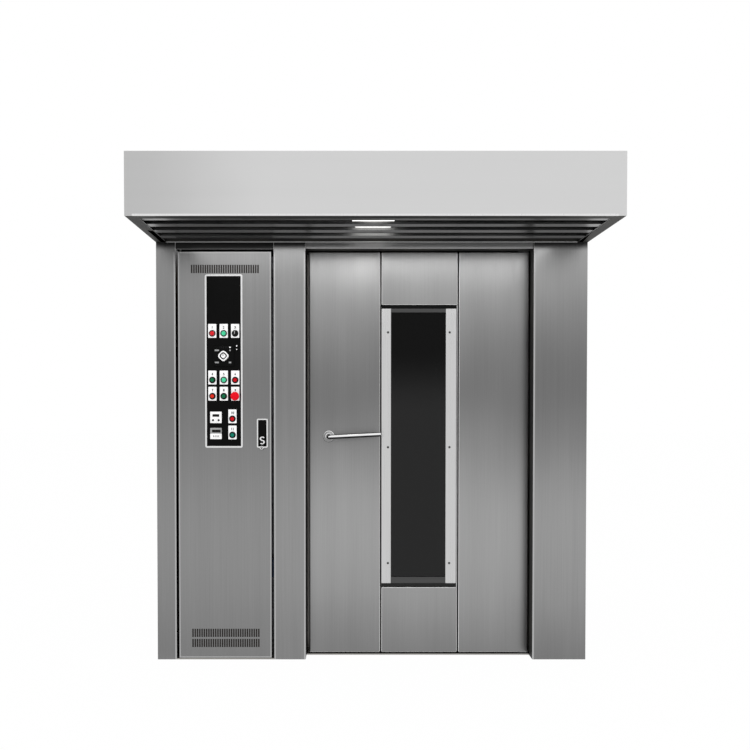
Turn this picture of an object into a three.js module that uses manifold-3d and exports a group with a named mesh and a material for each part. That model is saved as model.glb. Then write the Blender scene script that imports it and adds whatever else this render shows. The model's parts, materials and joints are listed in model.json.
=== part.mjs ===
// A rotating rack oven: an insulated steel cabinet with a baking chamber behind a windowed door, a rack
// trolley that hangs on a turning hook, a side compartment with heat exchanger, burner and fan, a control
// cabinet with its own door, and an exhaust hood that stands out over both doors.
// Millimetres, +Z up. The front faces -Y, the origin is under the middle of the footprint.
import * as THREE from "three";
import { mergeVertices } from "three/addons/utils/BufferGeometryUtils.js";
import Module from "manifold-3d";

const wasm = await Module();
wasm.setup();

// ---------------------------------------------------------------- driving dimensions

const SEAT = 0.3; // gap between two pieces that rest on each other
const SHEET = 2; // folded casing sheet
const RUNNING = 0.3; // radial clearance of a shaft in its bore

// The cabinet
const WIDTH = 2000;
const HEIGHT = 2200;
const BODY_DEPTH = 1500;
const SIDE_THICKNESS = 90;
const REAR_THICKNESS = 70;
const FLOOR_PLATE = 6;
const ROOF_HEIGHT = 2000; // deck that carries the drives, below the parapets
const ROOF_EDGE = 20;

// The front, from left to right
const CONTROL_OPENING = 455;
const CENTRE_POST_WIDTH = 147;
const OVEN_OPENING = 1059;
const FRONT_DEPTH = 170; // depth of the posts and headers
const OVEN_OPENING_HEIGHT = 1917;
const CONTROL_OPENING_HEIGHT = 1911.5;
const HEADER_SETBACK = 10;

// The hood
const HOOD_PROJECTION = 520;
const HOOD_UNDERSIDE = 1943;
const HOOD_FLANGE = 50;
const SLAT_COUNT = 4;
const SLAT_WIDTH = 50;
const SLAT_THICKNESS = 12;
const SLAT_PITCH = 117;
const SLAT_FIRST = 104; // first slat's centre in front of the body
const LAMP_WIDTH = 184;
const LAMP_LENGTH = 330;
const LAMP_HEIGHT = 40;
const HOOD_FAN_RADIUS = 150;
const HOOD_FAN_HEIGHT = 150;
const HOOD_FAN_X = 600;
const EXHAUST_RADIUS = 100;

// The oven door
const DOOR_GAP_LEFT = 14;
const DOOR_GAP_RIGHT = 6; // on the hinge side
const DOOR_RECESS = 70;
const DOOR_THICKNESS = 80;
const DOOR_BOTTOM = 12;
const DOOR_TOP_GAP = 5;
const DOOR_SKIN_DEPTH = 38; // depth of the outer skin's folded edge
const DOOR_PANEL_WIDTHS = [339, 366]; // left and middle front panels, the right one takes the rest
const DOOR_SEAM = 3;
const DOOR_SEAM_DEPTH = 1;
const HINGE_INSET_X = 12;
const HINGE_INSET_Y = 11;
const HINGE_PIN_RADIUS = 7;
const HINGE_PIN_LENGTH = 34;
const HINGE_PLATE = 50;
const GASKET_WIDTH = 20;
const GASKET_ON_FRAME = 16;
const DOOR_FRAME_LAND = 47;
const DOOR_FRAME_THICKNESS = 10;

// The window
const WINDOW_WIDTH = 356;
const WINDOW_LEFT = 341; // from the door's left edge
const WINDOW_BOTTOM = 324;
const WINDOW_TOP = 1662;
const WINDOW_TRIM_LEFT = 45;
const WINDOW_TRIM_RIGHT = 50;
const WINDOW_TRIM_BOTTOM = 343;
const WINDOW_TRIM_TOP = 1645;
const WINDOW_STRIP_BOTTOM = 31;
const WINDOW_STRIP_TOP = 19;
const WINDOW_TRIM_THICKNESS = 8;
const WINDOW_TRIM_PROUD = 2;
const GLASS_THICKNESS = 5;
const TRIM_SCREW_HEIGHTS = [439, 990, 1533];
const TRIM_SCREW_RADIUS = 4.5;
const TRIM_SCREW_HEAD = 2;
const TRIM_SCREW_FROM_GLASS = 14;

// The door handle
const HANDLE_X = 92.5; // from the door's left edge
const HANDLE_HEIGHT = 1041;
const HANDLE_RADIUS = 10.5;
const HANDLE_REACH = 246;
const HANDLE_STANDOFF = 70;
const HANDLE_BEND = 22;
const HANDLE_TILT = 3;
const ROSETTE_RADIUS = 27;
const ROSETTE_THICKNESS = 12;
const SPINDLE_RADIUS = 8;
const CAM_LENGTH = 60;

// The control cabinet's door
const CONTROL_DOOR_GAP = 11.5;
const CONTROL_DOOR_BOTTOM = 8;
const CONTROL_DOOR_THICKNESS = 20;
const PIVOT_INSET = 10;
const PIVOT_RADIUS = 5;
const VENT_SLOT_WIDTH = 6.5;
const VENT_SLOT_HEIGHT = 38;
const VENT_PITCH = 10.6;
const VENT_COUNT = 30;
const VENT_LEFT = 64; // first slot's centre, from the door's left edge
const VENT_HEIGHTS = [78, 125.5, 1820]; // each row's centre above the ground

// The control panel and what is on it, each place counted from the panel's centre
const PANEL_WIDTH = 175;
const PANEL_HEIGHT = 804;
const PANEL_X = 212; // centre, from the door's left edge
const PANEL_Z = 1393; // centre, above the ground
const PANEL_FRAME = 8.5;
const PANEL_PROUD = 4;
const PANEL_PLATE = 5;
const LEGEND_WIDTH = 39;
const LEGEND_HEIGHT = 65;
const LEGEND_PROUD = 1.5;
const LEGEND_RISE = 11.5; // legend plate's centre above its button
const BEZEL_RADIUS = 14.5;
const BEZEL_PROUD = 6;
const BUTTON_RADIUS = 11;
const BUTTON_PROUD = 4; // in front of its bezel
const BUTTON_STEM = 24;
const COLUMN_PITCH = 53;
const LAMP_DOME_HEIGHT = 6;
const ROW_UPPER = 129;
const ROW_MIDDLE = -87;
const ROW_LOWER = -162;
const STACK_X = 39.5;
const STACK_HEIGHTS = [-267, -342];
const INSTRUMENT_SIZE = 53;
const INSTRUMENT_X = -37;
const INSTRUMENT_HEIGHTS = [-260.5, -335];
const INSTRUMENT_PROUD = 5;
const CONTROLLER_SIZE = 96;
const CONTROLLER_HEIGHT = 24;
const CONTROLLER_PROUD = 7;
const CONTROLLER_DEPTH = 52;
const KNOB_RADIUS = 24;
const KNOB_DEPTH = 14;
const SELECTOR_RADIUS = 13;
const MUSHROOM_RADIUS = 20;
const MUSHROOM_TRAVEL = 5;

// The cabinet latch
const LATCH_X = 390.5; // centre, from the door's left edge
const LATCH_Z = 1059;
const LATCH_WIDTH = 52;
const LATCH_HEIGHT = 136;
const LATCH_PROUD = 7;
const LATCH_RIM = 7;
const PADDLE_THICKNESS = 6;

// The baking chamber
const CHAMBER_WIDTH = 1150;
const CHAMBER_LEFT_LAND = 100; // from the door frame's opening to the duct panel
const CEILING_HEIGHT = 1880;
const LINER = 3;
const LINER_EDGE = 40; // folded depth of the right wall
const DUCT_PANEL_DEPTH = 14;
const DUCT_PANEL_TOP = 1500;
const DUCT_SLOT = [14, 190]; // width and height of an air slot
const DUCT_COLUMNS = 4;
const DUCT_ROWS = 5;
const INSULATION = 100;
const BULKHEAD_DEPTH = 80;

// The rack and its drive
const RACK_WIDTH = 640;
const RACK_DEPTH = 840;
const RACK_POST = 30;
const RACK_FOOT = 150; // underside of the base frame
const RACK_TOP = 1730;
const RUNNER_COUNT = 15;
const RUNNER_PITCH = 95;
const RUNNER_FIRST = 260;
const RUNNER_WIDTH = 30;
const RUNNER_THICKNESS = 4;
const WHEEL_RADIUS = 50;
const WHEEL_WIDTH = 32;
const WHEEL_LIFT = 14; // hanging height of the wheels over the floor plate
const AXLE_RADIUS = 6;
const FORK_SHEET = 4;
const SHAFT_RADIUS = 20;
const SHAFT_TOP = 2120;
const COLLAR_RADIUS = 32;
const YOKE_WIDTH = 130;
const YOKE_DEPTH = 90;
const YOKE_BOTTOM = 1790;
const YOKE_TOP = 1850;
const YOKE_PLATE = 10;
const STEM_RADIUS = 12;
const STEM_HEAD_RADIUS = 32;
const STEM_HEAD = 12;
const BEARING_HEIGHT = 50;
const BEARING_RADIUS = 60;
const BEARING_FLANGE = 150;
const RACK_TEETH = 38;
const DRIVE_TEETH = 15;
const CHAIN_PITCH = 19.05;
const TOOTH_HEIGHT = 7;
const SPROCKET_BASE = 2085;
const SPROCKET_THICKNESS = 11;
const CHAIN_CENTRES = 380;
const CHAIN_THICKNESS = 10;
const GEARBOX = 150;
const GEARBOX_HEIGHT = 74;
const DRIVE_SHAFT_RADIUS = 14;
const MOTOR_RADIUS = 60;
const MOTOR_LENGTH = 250;

// The side compartment
const FAN_RADIUS = 190;
const FAN_HEIGHT = 110;
const FAN_TOP = 1850;
const FAN_BLADES = 8;
const FAN_SHAFT_RADIUS = 12;
const FAN_MOTOR_RADIUS = 80;
const FAN_MOTOR_HEIGHT = 180;
const FAN_SETBACK = 820; // fan's axis behind the body's front plane
const DRUM_RADIUS = 160;
const DRUM_HEIGHT = 430;
const DRUM_LENGTH = 700;
const DRUM_SETBACK = 340;
const DRUM_WALL = 6;
const TUBE_RADIUS = 40;
const TUBE_WALL = 4;
const TUBE_ROWS = 4;
const TUBE_PITCH = 130;
const COLLECTOR_BOTTOM = 1350;
const COLLECTOR_HEIGHT = 100;
const FLUE_RADIUS = 60;
const FLUE_SETBACK = 450;
const BURNER_TUBE = 50;
const STEAM_TRAYS = 7;
const STEAM_TRAY_PITCH = 180;

// ---------------------------------------------------------------- places worked out from them

const FRONT = -(BODY_DEPTH + HOOD_PROJECTION) / 2 + HOOD_PROJECTION; // the body's front plane
const REAR = FRONT + BODY_DEPTH;
const HOOD_FRONT = FRONT - HOOD_PROJECTION;
const FRONT_BACK = FRONT + FRONT_DEPTH; // back of the posts and headers
const INNER_X = WIDTH / 2 - SIDE_THICKNESS; // inner face of each side panel
const REAR_INNER = REAR - REAR_THICKNESS;
const CHAMBER_REAR = REAR - INSULATION;

const CONTROL_LEFT = -INNER_X;
const POST_LEFT = CONTROL_LEFT + CONTROL_OPENING;
const POST_RIGHT = POST_LEFT + CENTRE_POST_WIDTH;
const OVEN_RIGHT = POST_RIGHT + OVEN_OPENING;

const DOOR_LEFT = POST_RIGHT + DOOR_GAP_LEFT;
const DOOR_WIDTH = OVEN_OPENING - DOOR_GAP_LEFT - DOOR_GAP_RIGHT;
const DOOR_FRONT = FRONT + DOOR_RECESS;
const DOOR_HEIGHT = OVEN_OPENING_HEIGHT - DOOR_TOP_GAP - DOOR_BOTTOM;

const FRAME_FRONT = FRONT_BACK + SEAT;
const FRAME_BACK = FRAME_FRONT + DOOR_FRAME_THICKNESS;
const FRAME_LEFT = POST_RIGHT + DOOR_FRAME_LAND;
const FRAME_RIGHT = OVEN_RIGHT - DOOR_FRAME_LAND;
const FRAME_TOP = OVEN_OPENING_HEIGHT - DOOR_FRAME_LAND;

const CHAMBER_LEFT = FRAME_LEFT - CHAMBER_LEFT_LAND;
const CHAMBER_RIGHT = CHAMBER_LEFT + CHAMBER_WIDTH;
const CHAMBER_FRONT = FRAME_BACK + SEAT;
const FLOOR_TOP = FLOOR_PLATE + SEAT;
const ROOF_UNDERSIDE = ROOF_HEIGHT - ROOF_EDGE;
const DUCT_LEFT = CHAMBER_LEFT - DUCT_PANEL_DEPTH;
const BULKHEAD_BACK = CHAMBER_FRONT + BULKHEAD_DEPTH;
const WOOL_INNER_LEFT = CONTROL_LEFT + INSULATION;

const RACK_X = (CHAMBER_LEFT + CHAMBER_RIGHT) / 2;
const RACK_Y = (CHAMBER_FRONT + CHAMBER_REAR) / 2;
const SIDE_X = (WOOL_INNER_LEFT + DUCT_LEFT) / 2; // middle of the side compartment
const HOOD_FAN_Y = (HOOD_FRONT + FRONT) / 2;
const FAN_Y = FRONT + FAN_SETBACK;
const DRUM_FRONT = FRONT + DRUM_SETBACK;
const FLUE_Y = FRONT + FLUE_SETBACK;
const DRIVE_X = -CHAIN_CENTRES; // drive shaft, from the rack's axis

// ---------------------------------------------------------------- shapes

const degrees = THREE.MathUtils.degToRad;

/** A closed geometry as a manifold-3d solid. */
function solid(geometry) {
  const bare = geometry.clone();
  bare.deleteAttribute("normal");
  bare.deleteAttribute("uv");
  const merged = mergeVertices(bare, 1e-4);
  return new wasm.Manifold(
    new wasm.Mesh({
      numProp: 3,
      vertProperties: merged.attributes.position.array,
      triVerts: new Uint32Array(merged.index.array),
    }),
  );
}

/** A manifold-3d solid as a geometry. */
function geometryOf(made) {
  const mesh = made.getMesh();
  const geometry = new THREE.BufferGeometry();
  geometry.setAttribute("position", new THREE.BufferAttribute(mesh.vertProperties, 3));
  geometry.setIndex(new THREE.BufferAttribute(mesh.triVerts, 1));
  geometry.computeVertexNormals();
  return geometry;
}

const join = (...pieces) => geometryOf(pieces.map(solid).reduce((a, b) => a.add(b)));

const cut = (body, ...tools) =>
  tools.length ? geometryOf(solid(body).subtract(solid(join(...tools)))) : body;

/** A box from its lowest to its highest value along each axis. */
function block([x0, x1], [y0, y1], [z0, z1]) {
  const box = new THREE.BoxGeometry(x1 - x0, y1 - y0, z1 - z0);
  return box.translate((x0 + x1) / 2, (y0 + y1) / 2, (z0 + z1) / 2);
}

/** A cylinder along an axis; the centre gives the two other coordinates in x, y, z order. */
function rod(axis, radius, [from, to], [u, v], sides = 16, topRadius = radius) {
  const round = new THREE.CylinderGeometry(topRadius, radius, to - from, sides);
  round.translate(0, (from + to) / 2, 0);
  if (axis === "x") return round.rotateZ(-Math.PI / 2).translate(0, u, v);
  if (axis === "z") return round.rotateX(Math.PI / 2).translate(u, v, 0);
  return round.translate(u, 0, v);
}

/** A box of sheet with one open side, named "+x" to "-z". */
function tray(x, y, z, open, sheet = SHEET) {
  const inner = [x, y, z].map(([low, high]) => [low + sheet, high - sheet]);
  const axis = "xyz".indexOf(open[1]);
  inner[axis][open[0] === "+" ? 1 : 0] += open[0] === "+" ? 2 * sheet : -2 * sheet;
  return cut(block(x, y, z), block(...inner));
}

/** An outline in x and z, extruded along y from its first to its second value. */
function extrudeAlongY(shape, [y0, y1], curveSegments = 12) {
  const geometry = new THREE.ExtrudeGeometry(shape, {
    depth: y1 - y0,
    bevelEnabled: false,
    curveSegments,
  });
  return geometry.rotateX(Math.PI / 2).translate(0, y1, 0);
}

/** An outline in x and y, extruded along z from its first to its second value. */
function extrudeAlongZ(shape, [z0, z1], curveSegments = 12) {
  const geometry = new THREE.ExtrudeGeometry(shape, {
    depth: z1 - z0,
    bevelEnabled: false,
    curveSegments,
  });
  return geometry.translate(0, 0, z0);
}

/** A rectangle with round corners about a centre. */
function roundedRectangle(width, height, radius, x = 0, y = 0) {
  const [w, h] = [width / 2, height / 2];
  const shape = new THREE.Shape();
  shape.moveTo(x - w + radius, y - h);
  shape.lineTo(x + w - radius, y - h);
  shape.absarc(x + w - radius, y - h + radius, radius, -Math.PI / 2, 0);
  shape.lineTo(x + w, y + h - radius);
  shape.absarc(x + w - radius, y + h - radius, radius, 0, Math.PI / 2);
  shape.lineTo(x - w + radius, y + h);
  shape.absarc(x - w + radius, y + h - radius, radius, Math.PI / 2, Math.PI);
  shape.lineTo(x - w, y - h + radius);
  shape.absarc(x - w + radius, y - h + radius, radius, Math.PI, 1.5 * Math.PI);
  return shape;
}

const range = (count) => Array.from({ length: count }, (_, i) => i);

// ---------------------------------------------------------------- materials

const metal = (color, roughness) =>
  new THREE.MeshStandardMaterial({ color, roughness, metalness: 1 });
const plain = (color, roughness) => new THREE.MeshStandardMaterial({ color, roughness });

const brushedSteel = metal("#9a9a9a", 0.35);
const brightSteel = metal("#c8c8c8", 0.25);
const galvanisedSteel = metal("#9aa0a4", 0.5);
const heatSteel = metal("#7d756c", 0.5);
const castIron = metal("#3b3b3d", 0.7);
const chrome = metal("#e6e6e6", 0.08);
const mineralWool = plain("#b5a468", 1);
const rubber = plain("#1c1c1c", 0.8);
const blackPlastic = plain("#111111", 0.4);
const bluePaint = plain("#2b4f7d", 0.45);
const redPlastic = plain("#c32222", 0.35);
const orangePlastic = plain("#d8452a", 0.35);
const greenPlastic = plain("#1d7a4a", 0.35);
const tealPlastic = plain("#22a08c", 0.35);
const lampLens = plain("#ffffff", 0.3);
const glass = new THREE.MeshStandardMaterial({
  color: "#2a2e2d",
  roughness: 0.05,
  transparent: true,
  opacity: 0.4,
});

/** Adds a named mesh to its group. */
function place(group, name, geometry, material) {
  const mesh = new THREE.Mesh(geometry, material);
  mesh.name = name;
  group.add(mesh);
  return mesh;
}

/** A group at its place inside another. */
function groupAt(parent, x, y, z) {
  const group = new THREE.Group();
  group.position.set(x, y, z);
  parent.add(group);
  return group;
}

const oven = new THREE.Group();

// ---------------------------------------------------------------- casing

function buildCasing() {
  const height = [0, HEIGHT];
  const inside = [-INNER_X + SEAT, INNER_X - SEAT];
  const pivotX = CONTROL_LEFT + CONTROL_DOOR_GAP + PIVOT_INSET;
  const pivotY = FRONT + PIVOT_INSET;
  const pivotHole = rod(
    "z",
    PIVOT_RADIUS + RUNNING,
    [-1, CONTROL_OPENING_HEIGHT + 2 * SHEET],
    [pivotX, pivotY],
  );

  const plate = block(inside, [FRONT + SHEET, REAR_INNER - SEAT], [0, FLOOR_PLATE]);
  const postFoot = [-1, FLOOR_PLATE + 1];
  const footprint = (x0, x1) => block([x0 - SEAT, x1 + SEAT], [FRONT, FRONT_BACK + SEAT], postFoot);
  // The plate ends under the oven door, so nothing of it shows in front of the recessed door.
  const doorstep = block([POST_LEFT, OVEN_RIGHT + 1], [FRONT, DOOR_FRONT], postFoot);
  place(
    oven,
    "floor_pan",
    cut(plate, footprint(POST_LEFT, POST_RIGHT), footprint(OVEN_RIGHT, WIDTH / 2), doorstep, pivotHole),
    brushedSteel,
  );

  const left = [-WIDTH / 2, -INNER_X];
  place(oven, "left_side_panel", tray(left, [FRONT, REAR], height, "+x"), brushedSteel);
  const right = [INNER_X, WIDTH / 2];
  place(oven, "right_side_panel", tray(right, [FRONT_BACK + SEAT, REAR], height, "-x"), brushedSteel);
  place(oven, "rear_panel", tray(inside, [REAR_INNER, REAR], height, "-y"), brushedSteel);

  const depth = [FRONT, FRONT_BACK];
  place(oven, "centre_post", tray([POST_LEFT, POST_RIGHT], depth, height, "+y"), brushedSteel);
  place(oven, "right_front_panel", tray([OVEN_RIGHT, WIDTH / 2], depth, height, "+y"), brushedSteel);

  const controlHeader = tray(
    [CONTROL_LEFT + SEAT, POST_LEFT - SEAT],
    depth,
    [CONTROL_OPENING_HEIGHT, HEIGHT],
    "+y",
  );
  place(oven, "cabinet_header", cut(controlHeader, pivotHole), brushedSteel);
  place(
    oven,
    "door_header",
    tray(
      [POST_RIGHT + SEAT, OVEN_RIGHT - SEAT],
      [FRONT + HEADER_SETBACK, FRONT_BACK],
      [OVEN_OPENING_HEIGHT, HEIGHT],
      "+y",
    ),
    brushedSteel,
  );

  const deck = tray(inside, [FRONT_BACK + SEAT, REAR_INNER - SEAT], [ROOF_UNDERSIDE, ROOF_HEIGHT], "-z");
  place(oven, "roof_panel", cut(deck, ...roofPassages()), galvanisedSteel);
}

/** The holes through ceiling, wool and roof for the rack shaft, the fan shaft and the flue. */
function roofPassages() {
  const span = [CEILING_HEIGHT - 1, ROOF_HEIGHT + 1];
  return [
    rod("z", SHAFT_RADIUS + 6, span, [RACK_X, RACK_Y]),
    rod("z", FAN_SHAFT_RADIUS + 6, span, [SIDE_X, FAN_Y]),
    rod("z", FLUE_RADIUS + SEAT, span, [SIDE_X, FLUE_Y]),
  ];
}

// ---------------------------------------------------------------- hood

function buildHood() {
  const back = FRONT - SEAT;
  const x = [-WIDTH / 2, WIDTH / 2];
  const box = block(x, [HOOD_FRONT, back], [HOOD_UNDERSIDE, HEIGHT]);
  const hollow = block(
    [-WIDTH / 2 + SHEET, WIDTH / 2 - SHEET],
    [HOOD_FRONT + SHEET, back - SHEET],
    [HOOD_UNDERSIDE + SHEET, HEIGHT - SHEET],
  );
  const half = WIDTH / 2 - HOOD_FLANGE;
  const mouth = block(
    [-half, half],
    [HOOD_FRONT + HOOD_FLANGE, back - SHEET],
    [HOOD_UNDERSIDE - 1, HOOD_UNDERSIDE + SHEET + 1],
  );
  const outlet = rod("z", EXHAUST_RADIUS, [HEIGHT - 2 * SHEET, HEIGHT + 1], [HOOD_FAN_X, HOOD_FAN_Y], 20);
  place(oven, "hood_shell", cut(box, hollow, mouth, outlet), brushedSteel);

  // The slats hang between two end rails that rest on the flange.
  const railBottom = HOOD_UNDERSIDE + SHEET + SEAT;
  const railTop = railBottom + 2 * SLAT_THICKNESS;
  const slatSpan = [-half - 5, half + 5];
  const railDepth = [HOOD_FRONT + SHEET + SEAT, back - SHEET - SEAT];
  const rails = [-1, 1].map((side) => {
    const edges = [side * (half + 3), side * (half + 23)].sort((a, b) => a - b);
    return block(edges, railDepth, [railBottom, railTop]);
  });
  const slats = range(SLAT_COUNT).map((i) => {
    const centre = FRONT - SLAT_FIRST - i * SLAT_PITCH;
    const y = [centre - SLAT_WIDTH / 2, centre + SLAT_WIDTH / 2];
    return block(slatSpan, y, [railBottom, railBottom + SLAT_THICKNESS]);
  });
  place(oven, "hood_louvre", join(...rails, ...slats), brightSteel);

  const slatTop = railBottom + SLAT_THICKNESS;
  const lampBottom = slatTop + SEAT;
  const lampY = FRONT - SLAT_FIRST - ((SLAT_COUNT - 1) * SLAT_PITCH) / 2;
  const lens = extrudeAlongZ(
    roundedRectangle(LAMP_WIDTH, LAMP_LENGTH, LAMP_WIDTH / 2 - 2, 0, lampY),
    [lampBottom, lampBottom + LAMP_HEIGHT],
    4,
  );
  const hanger = block(
    [-20, 20],
    [lampY - 20, lampY + 20],
    [lampBottom + LAMP_HEIGHT - 1, HEIGHT - SHEET - SEAT],
  );
  place(oven, "hood_lamp", join(lens, hanger), lampLens);

  // The exhaust fan's drum hangs from the hood's top, and a bar across it carries the motor.
  const fan = groupAt(oven, HOOD_FAN_X, HOOD_FAN_Y, HEIGHT - SHEET - SEAT);
  const drum = [-HOOD_FAN_HEIGHT, 0];
  const motorTop = -SHEET - 8;
  const bar = block([-HOOD_FAN_RADIUS + 1, HOOD_FAN_RADIUS - 1], [-15, 15], [motorTop - 10, motorTop]);
  const motor = rod("z", 35, [-60, motorTop - 5], [0, 0]);
  const shell = cut(
    rod("z", HOOD_FAN_RADIUS, drum, [0, 0], 20),
    rod("z", HOOD_FAN_RADIUS - SHEET, [drum[0] - 1, -SHEET], [0, 0], 20),
    rod("z", EXHAUST_RADIUS, [-SHEET - 1, 1], [0, 0], 20),
  );
  const shaft = rod("z", 6, [-HOOD_FAN_HEIGHT + 5, -55], [0, 0], 12);
  place(fan, "hood_fan_housing", join(shell, bar, motor, shaft), galvanisedSteel);
  const wheelRadius = HOOD_FAN_RADIUS - 12;
  const hoodWheel = impeller(wheelRadius, [-HOOD_FAN_HEIGHT + 20, -60 - SEAT], 8, 6 + RUNNING, 14);
  place(fan, "hood_fan_impeller", hoodWheel, galvanisedSteel);
}

/** A radial fan wheel: a disc at its top, blades below it, a ring under the blades, and a hub. */
function impeller(radius, [z0, z1], blades, boreRadius, hubRadius) {
  const disc = rod("z", radius, [z1 - 3, z1], [0, 0], 20);
  const inletRadius = radius * 0.7;
  const ring = cut(
    rod("z", radius, [z0, z0 + 3], [0, 0], 20),
    rod("z", inletRadius, [z0 - 1, z0 + 4], [0, 0], 20),
  );
  const wheel = range(blades).map((i) => {
    const blade = block([radius * 0.66, radius * 0.985], [-1.5, 1.5], [z0 + 1, z1 - 1]);
    return blade.rotateZ((2 * Math.PI * i) / blades);
  });
  const hub = rod("z", hubRadius, [z0 + (z1 - z0) / 2, z1], [0, 0], 20);
  const whole = join(disc, ring, hub, ...wheel);
  return boreRadius ? cut(whole, rod("z", boreRadius, [z0 - 1, z1 + 1], [0, 0], 20)) : whole;
}

// ---------------------------------------------------------------- chamber

function buildChamber() {
  const outer = block(
    [POST_LEFT, INNER_X - SEAT],
    [FRAME_FRONT, FRAME_BACK],
    [FLOOR_TOP, ROOF_UNDERSIDE - SEAT],
  );
  const opening = block(
    [FRAME_LEFT, FRAME_RIGHT],
    [FRAME_FRONT - 1, FRAME_BACK + 1],
    [FLOOR_TOP - 1, FRAME_TOP],
  );
  place(oven, "door_frame", cut(outer, opening), brushedSteel);

  // The right wall, the rear wall and the ceiling are one welded liner.
  const linerX = [WOOL_INNER_LEFT + SEAT, CHAMBER_RIGHT + LINER_EDGE];
  const linerY = [CHAMBER_FRONT, CHAMBER_REAR + LINER];
  const linerZ = [FLOOR_TOP, CEILING_HEIGHT + LINER];
  const liner = join(
    tray([CHAMBER_RIGHT, linerX[1]], linerY, linerZ, "+x"),
    block(linerX, [CHAMBER_REAR, linerY[1]], linerZ),
    block(linerX, linerY, [CEILING_HEIGHT, linerZ[1]]),
  );
  const overBulkhead = block(
    [-INNER_X, DUCT_LEFT],
    [FRAME_FRONT, BULKHEAD_BACK + SEAT],
    [CEILING_HEIGHT - 1, linerZ[1] + 1],
  );
  place(oven, "chamber_liner", cut(liner, overBulkhead, ...roofPassages()), brushedSteel);

  // The duct panel is the chamber's left wall: hot air leaves through its slots and returns over its top.
  const depth = CHAMBER_REAR - SEAT - CHAMBER_FRONT;
  const panel = tray(
    [DUCT_LEFT, CHAMBER_LEFT],
    [CHAMBER_FRONT, CHAMBER_REAR - SEAT],
    [FLOOR_TOP, DUCT_PANEL_TOP],
    "-x",
  );
  const slots = range(DUCT_COLUMNS).flatMap((column) =>
    range(DUCT_ROWS).map((row) => {
      const y = CHAMBER_FRONT + (depth * (column + 1)) / (DUCT_COLUMNS + 1);
      const z = FLOOR_TOP + ((DUCT_PANEL_TOP - FLOOR_TOP) * (row + 0.7)) / (DUCT_ROWS + 0.4);
      const [width, height] = DUCT_SLOT;
      return block(
        [CHAMBER_LEFT - 2 * SHEET, CHAMBER_LEFT + 1],
        [y - width / 2, y + width / 2],
        [z - height / 2, z + height / 2],
      );
    }),
  );
  place(oven, "air_duct_panel", cut(panel, ...slots), brushedSteel);

  buildInsulation();
}

/** One jacket of mineral wool round the sides, back and top of the hot space. */
function buildInsulation() {
  const edge = INNER_X - SHEET - 2 * SEAT;
  const jacket = block(
    [-edge, edge],
    [BULKHEAD_BACK + SEAT, REAR - SHEET - SEAT],
    [FLOOR_TOP, ROOF_UNDERSIDE - SEAT],
  );
  const hotSpace = block(
    [WOOL_INNER_LEFT, CHAMBER_RIGHT + LINER_EDGE + SEAT],
    [BULKHEAD_BACK - 1, CHAMBER_REAR + LINER + SEAT],
    [0, CEILING_HEIGHT + LINER + SEAT],
  );
  const wool = cut(jacket, hotSpace, ...roofPassages());
  place(oven, "chamber_insulation", wool, mineralWool);

  const bulkhead = tray(
    [CONTROL_LEFT + SEAT, DUCT_LEFT - SEAT],
    [CHAMBER_FRONT, BULKHEAD_BACK],
    [FLOOR_TOP, ROOF_UNDERSIDE - SEAT],
    "+y",
  );
  const rail = (z) => {
    const front = [CHAMBER_FRONT - 12, CHAMBER_FRONT + 1];
    return block([CONTROL_LEFT + 60, POST_LEFT - 60], front, [z, z + 35]);
  };
  const switchgear = [1000, 1250, 1500].flatMap((z) => [
    rail(z),
    ...range(4).map((i) => {
      const x = CONTROL_LEFT + 80 + i * 75;
      return block([x, x + 60], [CHAMBER_FRONT - 70, CHAMBER_FRONT - 10], [z - 25, z + 60]);
    }),
  ]);
  const burnerHole = rod(
    "y",
    BURNER_TUBE + SEAT,
    [CHAMBER_FRONT - 1, BULKHEAD_BACK + 1],
    [SIDE_X, DRUM_HEIGHT],
  );
  place(oven, "cabinet_bulkhead", cut(join(bulkhead, ...switchgear), burnerHole), galvanisedSteel);
}

// ---------------------------------------------------------------- heating and air

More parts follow.
